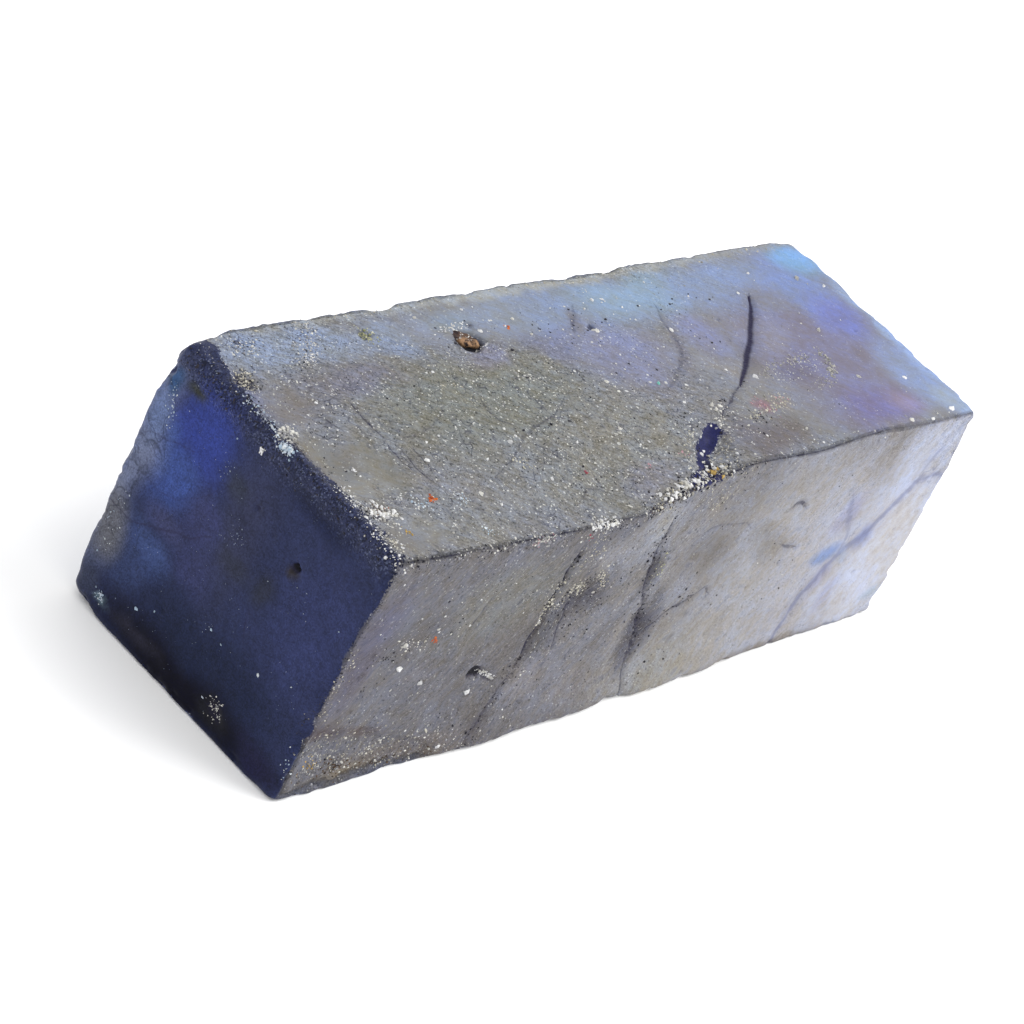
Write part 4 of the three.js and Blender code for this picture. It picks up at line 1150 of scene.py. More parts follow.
def stone_finish():
    """Frosted skin and bare stone, parted by a ragged border, with cracks and dark edges drawn on."""
    material, canvas = new_material("sapphire")
    place = canvas.place()
    stored = {name: canvas.kept(name) for name in ("skin_colour", "bare_colour", "crack", "surface", "edge")}
    skin_at = canvas.kept("skin", output="Fac")
    smooth, upright, grit_bed = (stored["surface"].part(axis) for axis in "XYZ")

    cloud = place.cloud(3.0, 3.0)
    blotch = place.cloud(0.7, 3.0, seed=1)
    along = place.turned((0, 0, 40), (0.3, 1, 1)).mixed(place.turned((0, 50, 0), (0.3, 1, 1)), upright)
    fibres = along.cloud(0.3, 2.0, seed=2)
    streaks = along.cloud(1.1, 3.0, seed=6)
    fine = place.cells(0.105)
    coarse = place.cells(0.34)
    to_line = crackle(place)

    rough_parts = (cloud, blotch, streaks, fibres, fine, coarse)
    skin = mottled_skin(canvas, stored["skin_colour"], to_line, smooth, upright, *rough_parts)
    bare = mottled_bare(stored["bare_colour"], to_line, grit_bed, cloud, blotch, fibres, fine)
    ragged = (0.13 + 0.2 * grit_bed) * blotch + (0.22 + 0.7 * grit_bed) * (fine["chance"] - 0.5)
    skinned = (skin_at + ragged).step(-0.05, 0.07 + 0.3 * grit_bed)
    colour = bare.mixed(skin, skinned)

    widths, strength, blue = (stored["crack"].part(axis) for axis in "XYZ")
    broken = 0.2 + 0.8 * (fibres + 0.8 * blotch).step(-0.7 - blue, 0.2 - blue)
    bold = strength.step(0.86, 0.98)
    ragged_line = abs(widths) + (0.42 - 0.3 * bold) * blotch
    line = (1 - ragged_line.step(0.2 * (1 - blue), 0.85)) * strength * broken.larger(bold)
    shade = (1 - abs(widths).step(0.0, 3.2)) * strength
    colour = colour.mixed(DARK_LINE, (0.20 * shade + 0.78 * line) * (1 - blue))
    colour = colour.mixed(BLUE_LINE, (0.20 * shade + 0.55 * line) * blue)

    past_edge, pit, by_edge = (stored["edge"].part(axis) for axis in "XYZ")
    edge = 1 - (abs(past_edge + 0.04) + 0.09 * blotch).step(0.0, 0.12)
    edge = edge * (cloud + blotch).step(-1.2, 0.3) * by_edge
    colour = colour.mixed(DARK_LINE, 0.78 * edge)
    # Pits are darkened by their depth: painted shade in the hollows, black at the bottom of the deep ones.
    colour = colour.mixed(DARK_LINE, 0.6 * (pit + 0.02 * blotch).step(0.02, 0.26))
    colour = colour.mixed(PIT_SHADE, 0.9 * pit.step(0.16, 0.4))

    covered = skin_at.step(-0.1, 0.3)
    relief = covered * (1 - 0.93 * smooth) * ((0.75 - 0.4 * upright) * fibres + 0.7 * fine["chance"])
    relief = relief + (1 - covered) * 1.6 * grit_bed * fine["chance"]
    sockets = {
        "Base Color": colour,
        "Roughness": 0.40 + skinned * (0.16 + 0.12 * fine["chance"]),
        "IOR": CORUNDUM_IOR,
        "Specular IOR Level": GLOSS,
        "Subsurface Weight": SCATTER_SHARE,
        "Subsurface Radius": SCATTER_REACH,
        "Subsurface Scale": 1.0 * MM,
    }
    finish_material(canvas, sockets, relief, strength=0.8, distance=GRAIN_BUMP)
    return material


stone.data.materials.append(stone_finish())
print("the stone's material has", len(stone.data.materials[0].node_tree.nodes), "nodes")

# %% [markdown]
# ## Clinging grit
#
# Sand, crumbs of the stone and flecks of other minerals sit in its pores and along its edges. Thousands of
# separate objects would be slow, so all grains of one kind are one mesh, built straight from arrays: a
# twenty-sided grain, knocked out of shape, turned at random, with its middle a third of its radius under
# the surface. A ray cast from outside finds the surface under each grain.

# %% Grain shapes and where they land
SINK = 0.35
LOWEST_GRAIN = 0.02
RAY_START = 60
GRAIN_DENT = 0.28
GRAIN_STRETCH = (0.6, 1.25)
STEEPEST = 0.35
# How a drawing on each side is laid out: its middle, its two axes, and the way out of the stone.
LAYOUT = {
    "top": ((0, 0, 0), (1, 0, 0), (0, 1, 0), (0, 0, 1)),
    "front": ((0, 0, 0), (1, 0, 0), (0, 0, 1), (0, -1, 0)),
    "back": ((0, 0, 0), (1, 0, 0), (0, 0, 1), (0, 1, 0)),
    "near": ((0, 0, 0), (0, 1, 0), (0, 0, 1), (-1, 0, 0)),
    "far": ((0, 0, 0), (0, 1, 0), (0, 0, 1), (1, 0, 0)),
    "front_edge": ((0, -10.6, 20.9), (1, 0, 0), (0, 1, 1), (0, -1, 1)),
    "near_edge": ((-35.0, 0, 21.2), (0, 1, 0), (1, 0, 1), (-1, 0, 1)),
}
surface = BVHTree.FromPolygons(
    [tuple(point) for point in read_vectors(stone.data.vertices, "co") / MM],
    [tuple(face.vertices) for face in stone.data.polygons],
)


def unit(way):
    """A direction as a vector of length 1."""
    return np.array(way, float) / np.linalg.norm(way)


def land(side, drawn):
    """Where points drawn on a side lie on the stone, and which way its surface faces there."""
    middle, first, second, out = (np.array(row, float) for row in LAYOUT[side])
    out = unit(out)
    across = drawn[:, 1].copy()
    if side == "front_edge":
        for column in (1, 2):
            across += np.interp(drawn[:, 0], EDGE_BEND[:, 0], EDGE_BEND[:, column]) / math.sqrt(2)
    starts = middle + drawn[:, :1] * unit(first) + across[:, None] * unit(second) + RAY_START * out
    spots, normals = [], []
    for start in starts:
        hit, way, _, _ = surface.ray_cast(Vector(start), Vector(-out))
        if hit is not None and Vector(out).dot(way) > STEEPEST:
            spots.append(hit)
            normals.append(way)
    return np.array(spots).reshape(-1, 3), np.array(normals).reshape(-1, 3)


def icosphere(subdivisions):
    """The points and faces of a ball of radius 1. One subdivision gives twenty faces."""
    ball = bmesh.new()
    bmesh.ops.create_icosphere(ball, subdivisions=subdivisions, radius=1)
    points = np.array([vertex.co for vertex in ball.verts])
    faces = np.array([[vertex.index for vertex in face.verts] for face in ball.faces])
    ball.free()
    return points, faces


BALL_POINTS, BALL_FACES = icosphere(1)


def grains(draw, spots, normals, radii):
    """Points of one knocked-about grain at each spot."""
    count = len(spots)
    shape = BALL_POINTS[None] * (1 + GRAIN_DENT * draw.uniform(-1, 1, (count, len(BALL_POINTS), 1)))
    shape = shape * draw.uniform(*GRAIN_STRETCH, (count, 1, 3))
    turns = np.linalg.qr(draw.normal(size=(count, 3, 3)))[0]
    shape = np.einsum("nij,nkj->nki", turns, shape) * radii[:, None, None]
    return shape + (spots - SINK * normals * radii[:, None])[:, None]


# %% [markdown]
# Where the grit lies is drawn the way the cracks are. A streak follows a path, with a spread to either side,
# and a dusting fills a rectangle in clumps. A few large crumbs are placed one by one. Sizes are radii in
# millimetres, and each grain takes one of its palette's colours.

# %% Palettes and recipes
PALETTES = {
    "white": [(0.62, 0.62, 0.62), (0.52, 0.52, 0.53), (0.44, 0.43, 0.40)],
    "pale": [(0.42, 0.41, 0.38), (0.25, 0.25, 0.25), (0.56, 0.55, 0.51), (0.20, 0.20, 0.22)],
    "straw": [(0.38, 0.36, 0.29), (0.27, 0.25, 0.20), (0.48, 0.46, 0.40), (0.19, 0.18, 0.16)],
    "sky": [(0.27, 0.35, 0.44), (0.38, 0.43, 0.50), (0.48, 0.52, 0.55)],
    "teal": [(0.15, 0.44, 0.38)],
    "blue_dust": [(0.05, 0.07, 0.13), (0.11, 0.14, 0.21), (0.26, 0.30, 0.37)],
    "green": [(0.20, 0.21, 0.10), (0.31, 0.31, 0.19), (0.42, 0.41, 0.29)],
    "black": [(0.010, 0.010, 0.016), (0.022, 0.020, 0.028)],
    "brown": [(0.07, 0.045, 0.028), (0.12, 0.08, 0.052), (0.04, 0.028, 0.024)],
    "orange": [(0.46, 0.12, 0.03), (0.34, 0.07, 0.024)],
    "red": [(0.26, 0.05, 0.07), (0.24, 0.08, 0.11)],
    "yellow": [(0.40, 0.27, 0.08), (0.26, 0.18, 0.06)],
    "pink": [(0.40, 0.24, 0.27), (0.32, 0.18, 0.21)],
    "dust": [(0.30, 0.29, 0.26), (0.22, 0.215, 0.20), (0.36, 0.35, 0.32), (0.13, 0.13, 0.13)],
}
# A streak: its side, its path, its spread, how many grains, their sizes, and their palette.
STREAKS = {}
STREAKS["pale_grit"] = [
    ("near_edge", [(-11, 0.9), (11, 1.1)], 0.34, 170, (0.025, 0.08), "pale"),
    ("near_edge", [(-11, 0.4), (-7.5, 0.6)], 0.36, 90, (0.04, 0.13), "white"),
    ("near_edge", [(-6.2, 0.9), (-3.4, 1.1)], 0.28, 70, (0.04, 0.12), "white"),
    ("near_edge", [(1.6, 0.5), (3.6, 0.7), (5.6, 0.9)], 0.26, 70, (0.04, 0.12), "sky"),
    ("near_edge", [(-10, 0.2), (10, 0.5)], 0.5, 110, (0.02, 0.06), "blue_dust"),
    ("near_edge", [(0.0, 0.1), (0.9, 0.2)], 0.2, 90, (0.08, 0.2), "sky"),
    ("near_edge", [(1.9, -0.9), (2.1, -0.8)], 0.1, 14, (0.08, 0.15), "white"),
    ("top", [(-34.2, 1.3), (-33.0, 1.8)], 0.26, 110, (0.06, 0.19), "pale"),
    ("top", [(-32.9, -6.3), (-31.5, -6.8)], 0.34, 120, (0.06, 0.21), "white"),
    ("top", [(-33.0, -6.0), (-31.4, -6.3)], 0.25, 30, (0.06, 0.13), "brown"),
    ("top", [(-32.6, -7.6), (-32.0, -7.8)], 0.3, 30, (0.05, 0.12), "pale"),
    ("top", [(-33.9, -8.6), (-33.6, -9.6)], 0.25, 40, (0.05, 0.13), "straw"),
    ("top", [(-33.2, 6.2), (-32.4, 7.6)], 0.42, 110, (0.05, 0.13), "straw"),
    ("top", [(-31.4, 10.0), (-29.8, 9.6)], 0.45, 90, (0.04, 0.11), "pale"),
    ("top", [(-23.4, 11.3), (-24.6, 9.6), (-25.6, 8.8), (-27.6, 7.0)], 0.55, 260, (0.04, 0.11), "pale"),
    ("top", [(-27.6, 7.3), (-26.0, 7.7), (-25.0, 8.2)], 0.16, 40, (0.05, 0.11), "white"),
    ("top", [(-19.1, 9.4), (-18.8, 9.0)], 0.34, 70, (0.06, 0.15), "green"),
    ("top", [(-5.9, -4.4), (-4.9, -4.2), (-4.2, -3.5)], 0.14, 34, (0.06, 0.16), "pale"),
    ("top", [(-17.0, 4.2), (-16.0, 2.0), (-14.4, 1.6)], 0.8, 60, (0.05, 0.11), "straw"),
    ("top", [(-16.6, -4.6), (-15.8, -5.4)], 0.25, 22, (0.06, 0.13), "straw"),
    ("top", [(-25.0, -6.4), (-24.0, -6.9)], 0.35, 34, (0.05, 0.1), "sky"),
    ("top", [(-28.6, -6.2), (-27.6, -6.8)], 0.22, 24, (0.05, 0.11), "sky"),
    ("top", [(-24.6, -9.4), (-24.2, -9.8)], 0.2, 24, (0.05, 0.12), "sky"),
    ("top", [(-9.4, 2.8), (-7.8, 2.2)], 0.42, 50, (0.05, 0.13), "pale"),
    ("top", [(-12.0, 8.5), (-10.4, 8.7), (-9.2, 8.2)], 0.22, 40, (0.05, 0.12), "white"),
    ("top", [(-11.4, 6.3), (-10.2, 5.9), (-9.1, 6.2)], 0.2, 26, (0.05, 0.11), "white"),
    ("top", [(-11.1, 8.1), (-10.2, 8.3), (-9.6, 8.1)], 0.12, 16, (0.05, 0.12), "white"),
    ("top", [(4.9, -6.4), (5.6, -5.4), (6.4, -4.5), (7.4, -4.2)], 0.3, 90, (0.06, 0.19), "pale"),
    ("top", [(2.2, -5.4), (0.4, -6.8), (-0.8, -8.0)], 0.28, 60, (0.05, 0.13), "straw"),
    ("top", [(2.4, -8.8), (3.8, -8.0), (4.6, -7.2)], 0.3, 40, (0.05, 0.11), "straw"),
    ("top", [(8.4, -6.1), (10.0, -5.6), (12.0, -5.5), (14.2, -5.3)], 0.24, 110, (0.05, 0.14), "straw"),
    ("top", [(12.6, -4.6), (14.4, -4.5), (15.6, -4.6)], 0.4, 60, (0.05, 0.13), "straw"),
    ("top", [
        (15.2, -2.1), (16.6, -1.3), (18.6, -1.0), (20.6, -1.1), (22.4, -0.9),
    ], 0.26, 150, (0.05, 0.13), "dust"),
    ("top", [(24.2, -0.6), (24.1, -1.8), (23.5, -2.8), (22.4, -3.6)], 0.24, 150, (0.06, 0.15), "dust"),
    ("top", [(22.4, -3.7), (21.0, -4.0), (19.6, -4.4)], 0.3, 60, (0.05, 0.12), "dust"),
    ("top", [(16.4, -2.6), (20.0, -2.2), (22.6, -1.8)], 0.6, 110, (0.04, 0.1), "pale"),
    ("top", [(-34, 11.4), (34, 11.2)], 0.22, 150, (0.05, 0.12), "straw"),
    ("front_edge", [(-34, 0.1), (-3, 0.1)], 0.26, 260, (0.04, 0.13), "pale"),
    ("front_edge", [(-20.8, 0.1), (-18.6, 0.0)], 0.24, 70, (0.05, 0.16), "pale"),
    ("front_edge", [(-14.2, 0.2), (-11.4, 0.1)], 0.22, 110, (0.06, 0.18), "white"),
    ("front_edge", [(-7.0, 0.2), (-3.0, 0.3), (2.4, 0.5)], 0.36, 210, (0.05, 0.17), "straw"),
    ("front_edge", [(-5.8, 0.3), (1.8, 0.6)], 0.32, 110, (0.08, 0.32), "white"),
    ("front_edge", [(-1.0, 0.0), (4.0, 0.0)], 0.4, 60, (0.04, 0.1), "straw"),
    ("front_edge", [(3, 0.3), (33, 0.3)], 0.5, 60, (0.04, 0.1), "pale"),
    ("front", [
        (-14.1, 14.8), (-14.1, 13.2), (-14.2, 12.0), (-14.2, 10.6),
    ], 0.22, 110, (0.05, 0.15), "straw"),
    ("front", [(-14.2, 10.9), (-13.9, 10.6)], 0.14, 14, (0.07, 0.16), "white"),
    ("front", [(-12.6, 13.4), (-11.6, 13.6), (-10.8, 13.0)], 0.3, 90, (0.05, 0.15), "straw"),
    ("front", [(-9.9, 14.3), (-9.0, 13.8), (-8.5, 13.0)], 0.28, 60, (0.05, 0.13), "straw"),
    ("front", [(-13.0, 11.8), (-12.0, 12.4)], 0.7, 70, (0.04, 0.1), "straw"),
    ("front", [(-13.5, 18.6), (-12.0, 17.2), (-13.0, 15.6)], 0.7, 90, (0.04, 0.12), "straw"),
    ("front", [(-18.4, 7.3), (-17.4, 6.8), (-16.3, 6.2)], 0.12, 60, (0.06, 0.16), "white"),
    ("front", [(-29.4, 12.8), (-28.2, 12.2), (-26.6, 12.5)], 0.4, 40, (0.05, 0.13), "pale"),
    ("front", [(-35, 4.6), (-30, 3.2), (-26, 2.6), (-22, 1.6)], 1.1, 300, (0.04, 0.12), "straw"),
    ("front", [(-34, 2.6), (-28, 1.4), (-22, 0.9), (-16, 0.7)], 0.6, 220, (0.04, 0.13), "pale"),
    ("front", [(-27.4, 2.4), (-25.6, 3.4)], 0.3, 40, (0.05, 0.13), "pale"),
    ("front", [(-34.4, 13.2), (-34.2, 11.0), (-34.6, 7.4)], 0.35, 60, (0.04, 0.11), "straw"),
    ("front", [(0.6, 19.2), (2.8, 17.6)], 0.9, 90, (0.04, 0.1), "straw"),
    ("front", [(-1.4, 13.4), (-1.0, 12.2)], 0.5, 30, (0.05, 0.12), "green"),
    ("near", [(1.4, 14.4), (0.6, 13.8), (1.2, 12.8)], 0.5, 34, (0.03, 0.07), "blue_dust"),
    ("near", [(4.0, 17.4), (3.4, 16.8)], 0.35, 16, (0.03, 0.06), "blue_dust"),
    ("near", [(-3.4, 2.6), (-3.6, 1.8)], 0.4, 60, (0.04, 0.09), "pale"),
    ("near", [(9.0, 1.9), (8.4, 1.5)], 0.18, 26, (0.05, 0.12), "sky"),
    ("near", [(-11.2, 5.6), (-11.0, 2.4)], 0.35, 70, (0.04, 0.1), "sky"),
    ("near", [(10.6, 18.6), (9.8, 17.0), (9.6, 15.8)], 0.25, 40, (0.04, 0.09), "sky"),
    ("near", [(10.6, 9.6), (10.4, 5.0)], 0.5, 30, (0.04, 0.08), "sky"),
]
STREAKS["dark_grit"] = [
    ("near_edge", [(-11, 0.0), (11, 0.2)], 0.5, 260, (0.05, 0.14), "black"),
    ("top", [(-33.6, -10), (-33.6, -3), (-34.4, 2), (-33.2, 10)], 0.3, 120, (0.04, 0.11), "black"),
    ("top", [(-33.2, 6.2), (-32.4, 7.6)], 0.5, 70, (0.05, 0.11), "black"),
    ("top", [(-23.4, 11.3), (-24.6, 9.6), (-27.6, 7.0)], 0.6, 110, (0.04, 0.1), "black"),
    ("top", [(-31.4, 10.0), (-29.8, 9.6)], 0.45, 50, (0.04, 0.1), "black"),
    ("top", [(-11.9, 6.8), (-11.4, 6.3)], 0.25, 20, (0.05, 0.13), "black"),
    ("top", [(-8.8, 2.2), (-8.2, 2.0)], 0.25, 12, (0.05, 0.12), "black"),
    ("top", [(9.4, -5.9), (11.4, -5.9)], 0.35, 40, (0.05, 0.12), "black"),
    ("top", [(7.6, -3.6), (8.2, -3.7)], 0.16, 14, (0.05, 0.12), "black"),
    ("front_edge", [(-34, -0.1), (-3, -0.1)], 0.28, 190, (0.04, 0.12), "black"),
    ("front_edge", [(-8.0, 0.2), (2.2, 0.4)], 0.4, 270, (0.05, 0.16), "black"),
    ("front_edge", [(0, 0.0), (6, 0.0)], 0.45, 60, (0.04, 0.12), "black"),
    ("front", [(-14.3, 17.2), (-14.2, 15.2), (-14.3, 12.2)], 0.2, 60, (0.06, 0.17), "black"),
    ("front", [(-13.4, 12.4), (-11.4, 13.4), (-9.0, 13.6)], 0.4, 70, (0.05, 0.12), "black"),
    ("front", [(-31.4, 11.8), (-29.6, 11.4)], 0.35, 30, (0.05, 0.12), "black"),
    ("front", [(-34.8, 19.0), (-34.8, 3.0)], 0.22, 110, (0.04, 0.1), "black"),
    ("front", [(-19.6, 7.6), (-18.6, 7.1)], 0.25, 30, (0.05, 0.13), "black"),
    ("front", [
        (-3.6, 17.5), (-2.9, 13.6), (-1.6, 10.1), (-0.5, 7.2), (0.0, 5.0),
    ], 0.45, 150, (0.05, 0.14), "black"),
    ("front", [(0.6, 6.4), (3.0, 7.8), (5.2, 8.8)], 0.3, 50, (0.04, 0.11), "black"),
    ("front", [(-14.5, 8.0), (-15.4, 4.4), (-16.9, 1.0)], 0.4, 90, (0.04, 0.12), "black"),
    ("front", [(-12.5, 12.0), (-9.5, 10.5), (-8.0, 12.5)], 1.4, 160, (0.04, 0.12), "black"),
    ("near", [(-4.6, 15.3), (-4.3, 15.1)], 0.08, 8, (0.06, 0.12), "black"),
]
STREAKS["rust_grit"] = [
    ("top", [(-27.1, -6.2), (-26.8, -6.4)], 0.14, 26, (0.08, 0.19), "orange"),
    ("top", [(-11.0, -6.6), (-10.7, -6.7)], 0.12, 9, (0.06, 0.14), "red"),
    ("top", [(-1.2, -7.4), (-0.6, -7.6)], 0.22, 9, (0.05, 0.12), "pink"),
    ("top", [(-4.9, -7.5), (-4.7, -7.6)], 0.12, 5, (0.05, 0.1), "pink"),
    ("top", [(11.4, -4.5), (12.2, -5.1)], 0.42, 26, (0.06, 0.14), "pink"),
    ("top", [(13.8, -4.8), (15.0, -5.0)], 0.35, 12, (0.05, 0.11), "pink"),
    ("top", [(-5.9, 7.4), (-5.5, 7.6)], 0.14, 7, (0.06, 0.13), "orange"),
    ("top", [(-31.6, -8.6), (-31.1, -8.3)], 0.16, 14, (0.05, 0.12), "yellow"),
    ("top", [(-32.0, -6.3), (-31.4, -6.5)], 0.2, 8, (0.05, 0.1), "orange"),
    ("front_edge", [(0.2, 0.3), (1.2, 0.4)], 0.18, 26, (0.1, 0.24), "yellow"),
    ("front_edge", [(-8, 0.1), (-3, 0.2)], 0.3, 30, (0.05, 0.13), "brown"),
    ("front_edge", [(-20.6, -0.1), (-18.6, -0.2)], 0.22, 26, (0.05, 0.11), "pink"),
    ("front_edge", [(-14.6, -0.5), (-13.8, -0.6)], 0.14, 8, (0.05, 0.11), "red"),
    ("front", [(-26.2, 12.4), (-25.6, 11.8)], 0.12, 16, (0.06, 0.12), "orange"),
    ("front", [(-33.4, 3.2), (-32.2, 2.6)], 0.18, 22, (0.05, 0.12), "yellow"),
    ("front", [(-34, 2.0), (-28, 1.2), (-20, 0.8)], 0.6, 120, (0.05, 0.12), "brown"),
    ("front", [(-31.4, 2.1), (-28.0, 1.6)], 0.25, 26, (0.08, 0.17), "brown"),
    ("top", [(-18, 0), (-10, -1)], 3.0, 40, (0.04, 0.08), "brown"),
]
# A dusting: its side, two opposite corners, how many grains, their sizes, and their palette.
DUSTINGS = {
    "pale_grit": [
        ("top", (-33, -10.2), (-4, 6), 620, (0.035, 0.10), "pale"),
        ("top", (-31, -10), (14, 10.5), 200, (0.05, 0.21), "white"),
        ("top", (0, -10), (33, 10.5), 170, (0.04, 0.12), "pale"),
        ("front", (-34, 1), (-6, 19), 330, (0.035, 0.10), "pale"),
        ("front", (-34, 1), (-10, 18), 70, (0.05, 0.13), "white"),
        ("front", (-6, 1), (18, 19), 90, (0.035, 0.08), "pale"),
        ("near", (-10.8, 1), (10.8, 20), 170, (0.022, 0.05), "blue_dust"),
        ("back", (-33, 1), (33, 20), 320, (0.04, 0.12), "pale"),
        ("far", (-10, 1), (10, 20), 70, (0.04, 0.10), "pale"),
    ],
    "dark_grit": [
        ("top", (-33, -10.2), (2, 8), 330, (0.035, 0.10), "black"),
        ("top", (-14, -9), (20, 9), 170, (0.04, 0.16), "black"),
        ("front", (-34, 1), (-2, 19), 260, (0.04, 0.11), "black"),
        ("front", (-6, 2), (20, 19), 70, (0.04, 0.13), "black"),
        ("back", (-33, 1), (33, 20), 160, (0.04, 0.11), "black"),
    ],
    "rust_grit": [
        ("back", (-30, 1), (30, 6), 50, (0.05, 0.12), "brown"),
    ],
}
# Single crumbs on each side: their two coordinates, their size and their palette.
CRUMBS = {
    "top": [
        (-19.3, -4.1, 0.15, "white"), (-16.0, -3.1, 0.22, "white"), (-14.6, -6.6, 0.28, "white"),
        (-22.2, -6.5, 0.26, "white"), (-21.2, -7.8, 0.16, "white"), (-16.4, -7.8, 0.15, "white"),
        (-23.3, -1.7, 0.15, "white"), (-7.2, -2.7, 0.13, "white"), (-12.7, 4.8, 0.16, "pale"),
        (-19.2, 2.3, 0.15, "pale"), (-0.6, -0.8, 0.17, "white"), (-4.2, 6.3, 0.13, "white"),
        (-9.3, -10.1, 0.18, "white"), (-5.8, 7.6, 0.16, "white"), (-6.6, 8.4, 0.12, "white"),
        (-1.4, -0.7, 0.12, "pale"), (-17.5, 4.4, 0.13, "white"), (-15.2, -10.0, 0.15, "pale"),
        (2.6, 5.7, 0.3, "white"), (3.4, -0.7, 0.24, "teal"), (4.4, -0.6, 0.18, "white"),
        (4.0, -3.0, 0.2, "white"), (3.6, -4.1, 0.17, "white"), (6.3, -3.9, 0.26, "white"),
        (12.0, -0.6, 0.16, "white"), (14.3, -1.9, 0.24, "white"), (12.4, 3.3, 0.14, "white"),
        (16.1, 7.4, 0.2, "white"), (7.9, 6.0, 0.19, "white"), (5.6, 8.8, 0.2, "white"),
        (10.6, 4.4, 0.2, "white"), (1.5, 1.3, 0.14, "white"), (22.0, 6.8, 0.17, "white"),
        (25.6, 8.8, 0.26, "white"), (30.7, 7.3, 0.36, "white"), (26.6, 1.3, 0.26, "white"),
        (32.4, -9.4, 0.36, "white"), (28.8, -10.0, 0.26, "white"), (25.8, -9.8, 0.28, "white"),
        (14.0, -7.9, 0.17, "white"), (25.4, -4.2, 0.2, "white"), (30.8, -5.2, 0.22, "white"),
        (33.0, 6.0, 0.2, "white"), (14.2, -9.6, 0.18, "white"), (9.2, 3.2, 0.12, "pale"),
    ],
    "front": [
        (-29.1, 12.5, 0.2, "white"), (-27.1, 12.4, 0.14, "straw"), (-28.6, 10.4, 0.22, "white"),
        (-25.2, 8.2, 0.2, "white"), (-21.7, 3.0, 0.26, "straw"), (-19.8, 1.2, 0.28, "white"),
        (-27.9, 8.1, 0.14, "white"), (-26.4, 13.4, 0.14, "pale"), (-18.6, 5.5, 0.18, "white"),
        (-9.1, 12.3, 0.16, "white"), (-11.2, 16.2, 0.14, "white"), (-33.2, 19.0, 0.14, "white"),
    ],
    "near": [
        (5.6, 3.3, 0.15, "sky"), (4.2, 4.2, 0.12, "sky"), (-5.5, 6.9, 0.13, "sky"),
        (-9.4, 14.0, 0.09, "sky"), (-1.8, 6.4, 0.1, "sky"), (4.1, 19.2, 0.09, "sky"),
        (-0.6, 6.7, 0.1, "sky"), (-2.3, 2.1, 0.12, "sky"), (-8.2, 8.2, 0.09, "sky"),
    ],
}
# A crumb's radius lies between its size and this many times its size.
CRUMB_SPREAD = 1.3
CLUMP_SIZE = 2.6
# The higher this power, the more of the grains are small ones.
SMALL_GRAIN_POWER = 1.6
GRAIN_LIGHT = (0.8, 1.1)


# %% Lay the grit
def along_path(draw, path, spread, count):
    """Random points about a path drawn on a side."""
    corners = np.array(path, float)
    lengths = np.concatenate([[0], np.cumsum(np.linalg.norm(np.diff(corners, axis=0), axis=1))])
    travelled = draw.uniform(0, lengths[-1], count)
    middles = np.stack([np.interp(travelled, lengths, corners[:, axis]) for axis in (0, 1)], axis=1)
    return middles + spread * draw.normal(size=(count, 2))


def in_clumps(draw, low, high, count):
    """Random points of a rectangle, more of them in some places than in others."""
    tries = draw.uniform(low, high, (4 * count, 2))
    crowding = smoothstep(rough_noise(np.pad(tries, ((0, 0), (0, 1))), CLUMP_SIZE, 2, seed=83), -0.6, 0.9)
    return tries[draw.uniform(size=len(tries)) < crowding][:count]


def grit_mesh(name, seed):
    """All the grains of one kind as one mesh, each with a colour of its own."""
    draw = np.random.default_rng(seed)
    batches = [
        (side, along_path(draw, path, spread, count), sizes, palette)
        for side, path, spread, count, sizes, palette in STREAKS[name]
    ]
    batches += [
        (side, in_clumps(draw, low, high, count), sizes, palette)
        for side, low, high, count, sizes, palette in DUSTINGS[name]
    ]
    if name == "pale_grit":
        batches += [
            (side, np.array([[first, second]]), (size, CRUMB_SPREAD * size), palette)
            for side, crumbs in CRUMBS.items() for first, second, size, palette in crumbs
        ]
    shapes, colours = [], []
    for side, drawn, (small, large), palette in batches:
        spots, normals = land(side, drawn)
        if not len(spots):
            continue
        radii = small * (large / small) ** (draw.uniform(size=len(spots)) ** SMALL_GRAIN_POWER)
        shapes.append(grains(draw, spots, normals, radii))
        paint = np.array(PALETTES[palette])[draw.integers(len(PALETTES[palette]), size=len(spots))]
        colours.append(paint * draw.uniform(*GRAIN_LIGHT, (len(spots), 1)))
    points = np.concatenate(shapes)
    first = len(BALL_POINTS) * np.arange(len(points))
    faces = BALL_FACES[None] + first[:, None, None]
    points = points.reshape(-1, 3)
    points[:, 2] = np.maximum(points[:, 2], LOWEST_GRAIN)
    piece = new_object(name, (points * MM).tolist(), faces.reshape(-1, 3).tolist())
    keep(piece, "grain_colour", np.repeat(np.concatenate(colours), len(BALL_POINTS), axis=0))
    print(name, "has", len(first), "grains")
    return piece


def grit_finish(name, roughness, gloss):
    """Each grain's own colour, mottled a little, on crystal that is glossy or matt."""
    material, canvas = new_material(name)
    place = canvas.place()
    colour = canvas.kept("grain_colour")
    mottle = place.cloud(0.12, 2.0, seed=4)
    sockets = {
        "Base Color": colour.scaled((1 + 0.18 * mottle).larger(0.3)),
        "Roughness": roughness + 0.08 * mottle,
        "Specular IOR Level": gloss,
    }
    finish_material(canvas, sockets, mottle, strength=0.4, distance=0.03)
    return material


# Each kind's random seed, its roughness and its gloss.
GRIT_KINDS = {"pale_grit": (5, 0.35, 0.35), "dark_grit": (6, 0.5, 0.15), "rust_grit": (8, 0.7, 0.15)}
grit = {}
for name, (seed, roughness, gloss) in GRIT_KINDS.items():
    grit[name] = grit_mesh(name, seed)
    grit[name].data.materials.append(grit_finish(name, roughness, gloss))
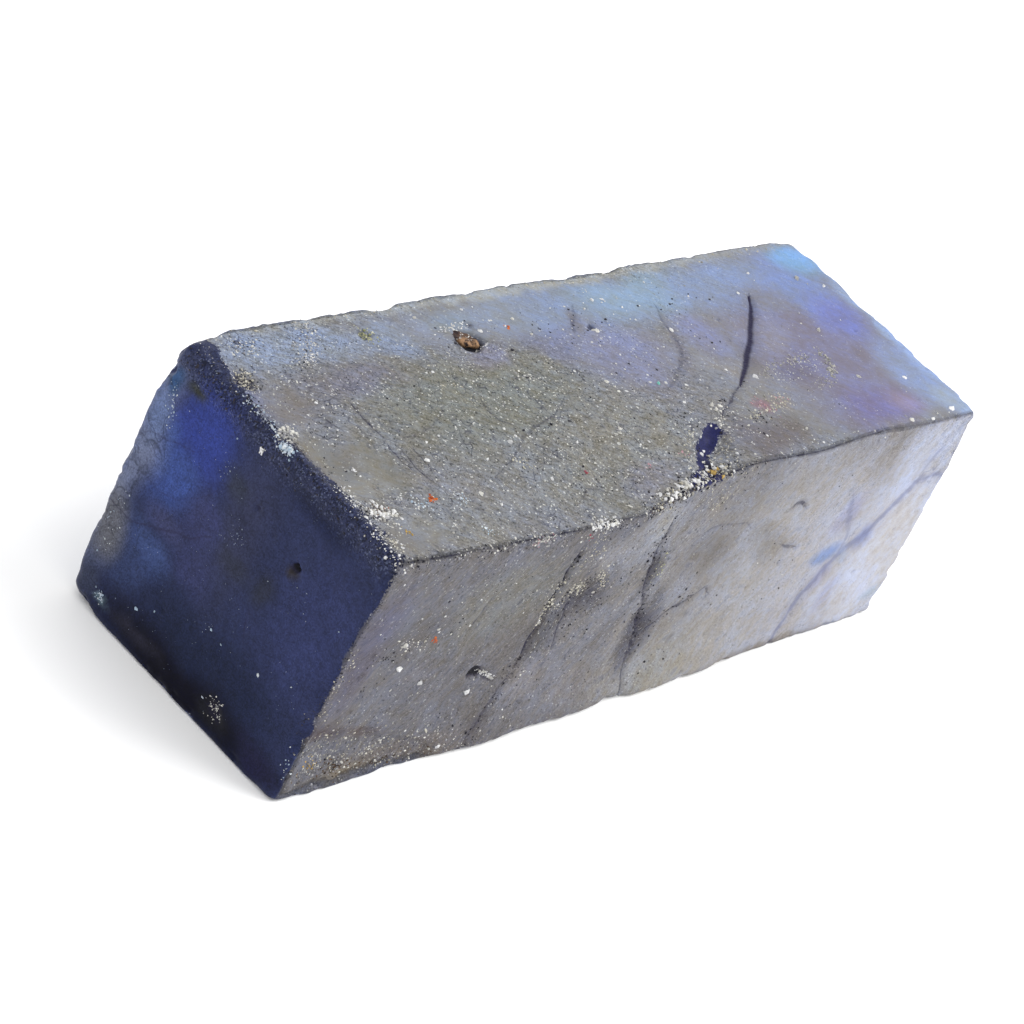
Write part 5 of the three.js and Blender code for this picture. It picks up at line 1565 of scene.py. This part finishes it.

# %% [markdown]
# ## The rusty inclusion
#
# A lens of iron oxide sits in its own pit near the back edge. It is a ball pressed flat, tilted so that its
# far side lies lower, and knocked out of shape by the same noise as the stone. Its front side is tan, the
# rest is brown with pale specks, and the part of the pit that it leaves open is black with painted shade.

# %% Rusty inclusion
RUST_AT = (-10.2, 7.4)
RUST_SIZE = (1.22, 0.95, 0.4)
RUST_TURN = math.radians(-14)
RUST_LEVEL = 0.1
RUST_TILT = (0.16, 0.096)
RUST_DENT = 0.17
RUST_DENT_SIZE = 0.55
RUST_DARK = (0.022, 0.016, 0.018, 1)
RUST_BROWN = (0.085, 0.052, 0.038, 1)
RUST_TAN = (0.30, 0.18, 0.10, 1)


def rust_finish():
    """Brown ore with pale specks, and tan on its front side."""
    material, canvas = new_material("rust")
    place = canvas.place()
    mottle = place.cloud(0.5, 3.0, seed=5)
    crumbs = place.cells(0.16)
    rim = canvas.kept("rim", output="Fac")
    dark = canvas.node("ShaderNodeRGB")
    dark.socket.default_value = RUST_DARK
    colour = dark.mixed(RUST_BROWN, mottle.step(-0.7, 0.6))
    colour = colour.mixed(RUST_TAN, rim * (mottle + crumbs["chance"]).step(-0.4, 0.7))
    colour = colour.mixed(FLECK_AND_GLINT, (1 - rim) * crumbs["chance"].step(0.88, 0.92))
    relief = mottle + crumbs["chance"]
    sockets = {"Base Color": colour, "Roughness": 0.65 + 0.1 * mottle, "Specular IOR Level": 0.1}
    finish_material(canvas, sockets, relief, strength=0.6, distance=0.08)
    return material


round_points, round_faces = icosphere(4)
lens = round_points * RUST_SIZE
lens += RUST_DENT * round_points * rough_noise(lens, RUST_DENT_SIZE, 3, seed=91)[:, None]
cosine, sine = math.cos(RUST_TURN), math.sin(RUST_TURN)
lens = lens @ np.array([[cosine, sine, 0], [-sine, cosine, 0], [0, 0, 1]])
lens[:, 2] -= lens[:, :2] @ np.array(RUST_TILT)
seat = land("top", np.array([RUST_AT]))[0][0]
lens += seat + (0, 0, RUST_LEVEL)
rust = new_object("rust_inclusion", (lens * MM).tolist(), round_faces.tolist())
rust.data.shade_smooth()
keep(rust, "rim", smoothstep(-round_points[:, 1], 0.15, 0.7))
rust.data.materials.append(rust_finish())
print("the inclusion lies at", seat.round(2))

# %% [markdown]
# ## One rigid stone
#
# Nothing on the stone moves, so every piece rides on its one body. The fine mesh takes the place of the
# solid it was made from. The inclusion and the grit are extra: the solid has nothing that small.

# %% Attach every piece
PIECES = {stone: "sapphire", rust: "rust_grit", **{piece: name for name, piece in grit.items()}}
for piece, slot in PIECES.items():
    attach(piece, "root")
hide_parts(STONE)
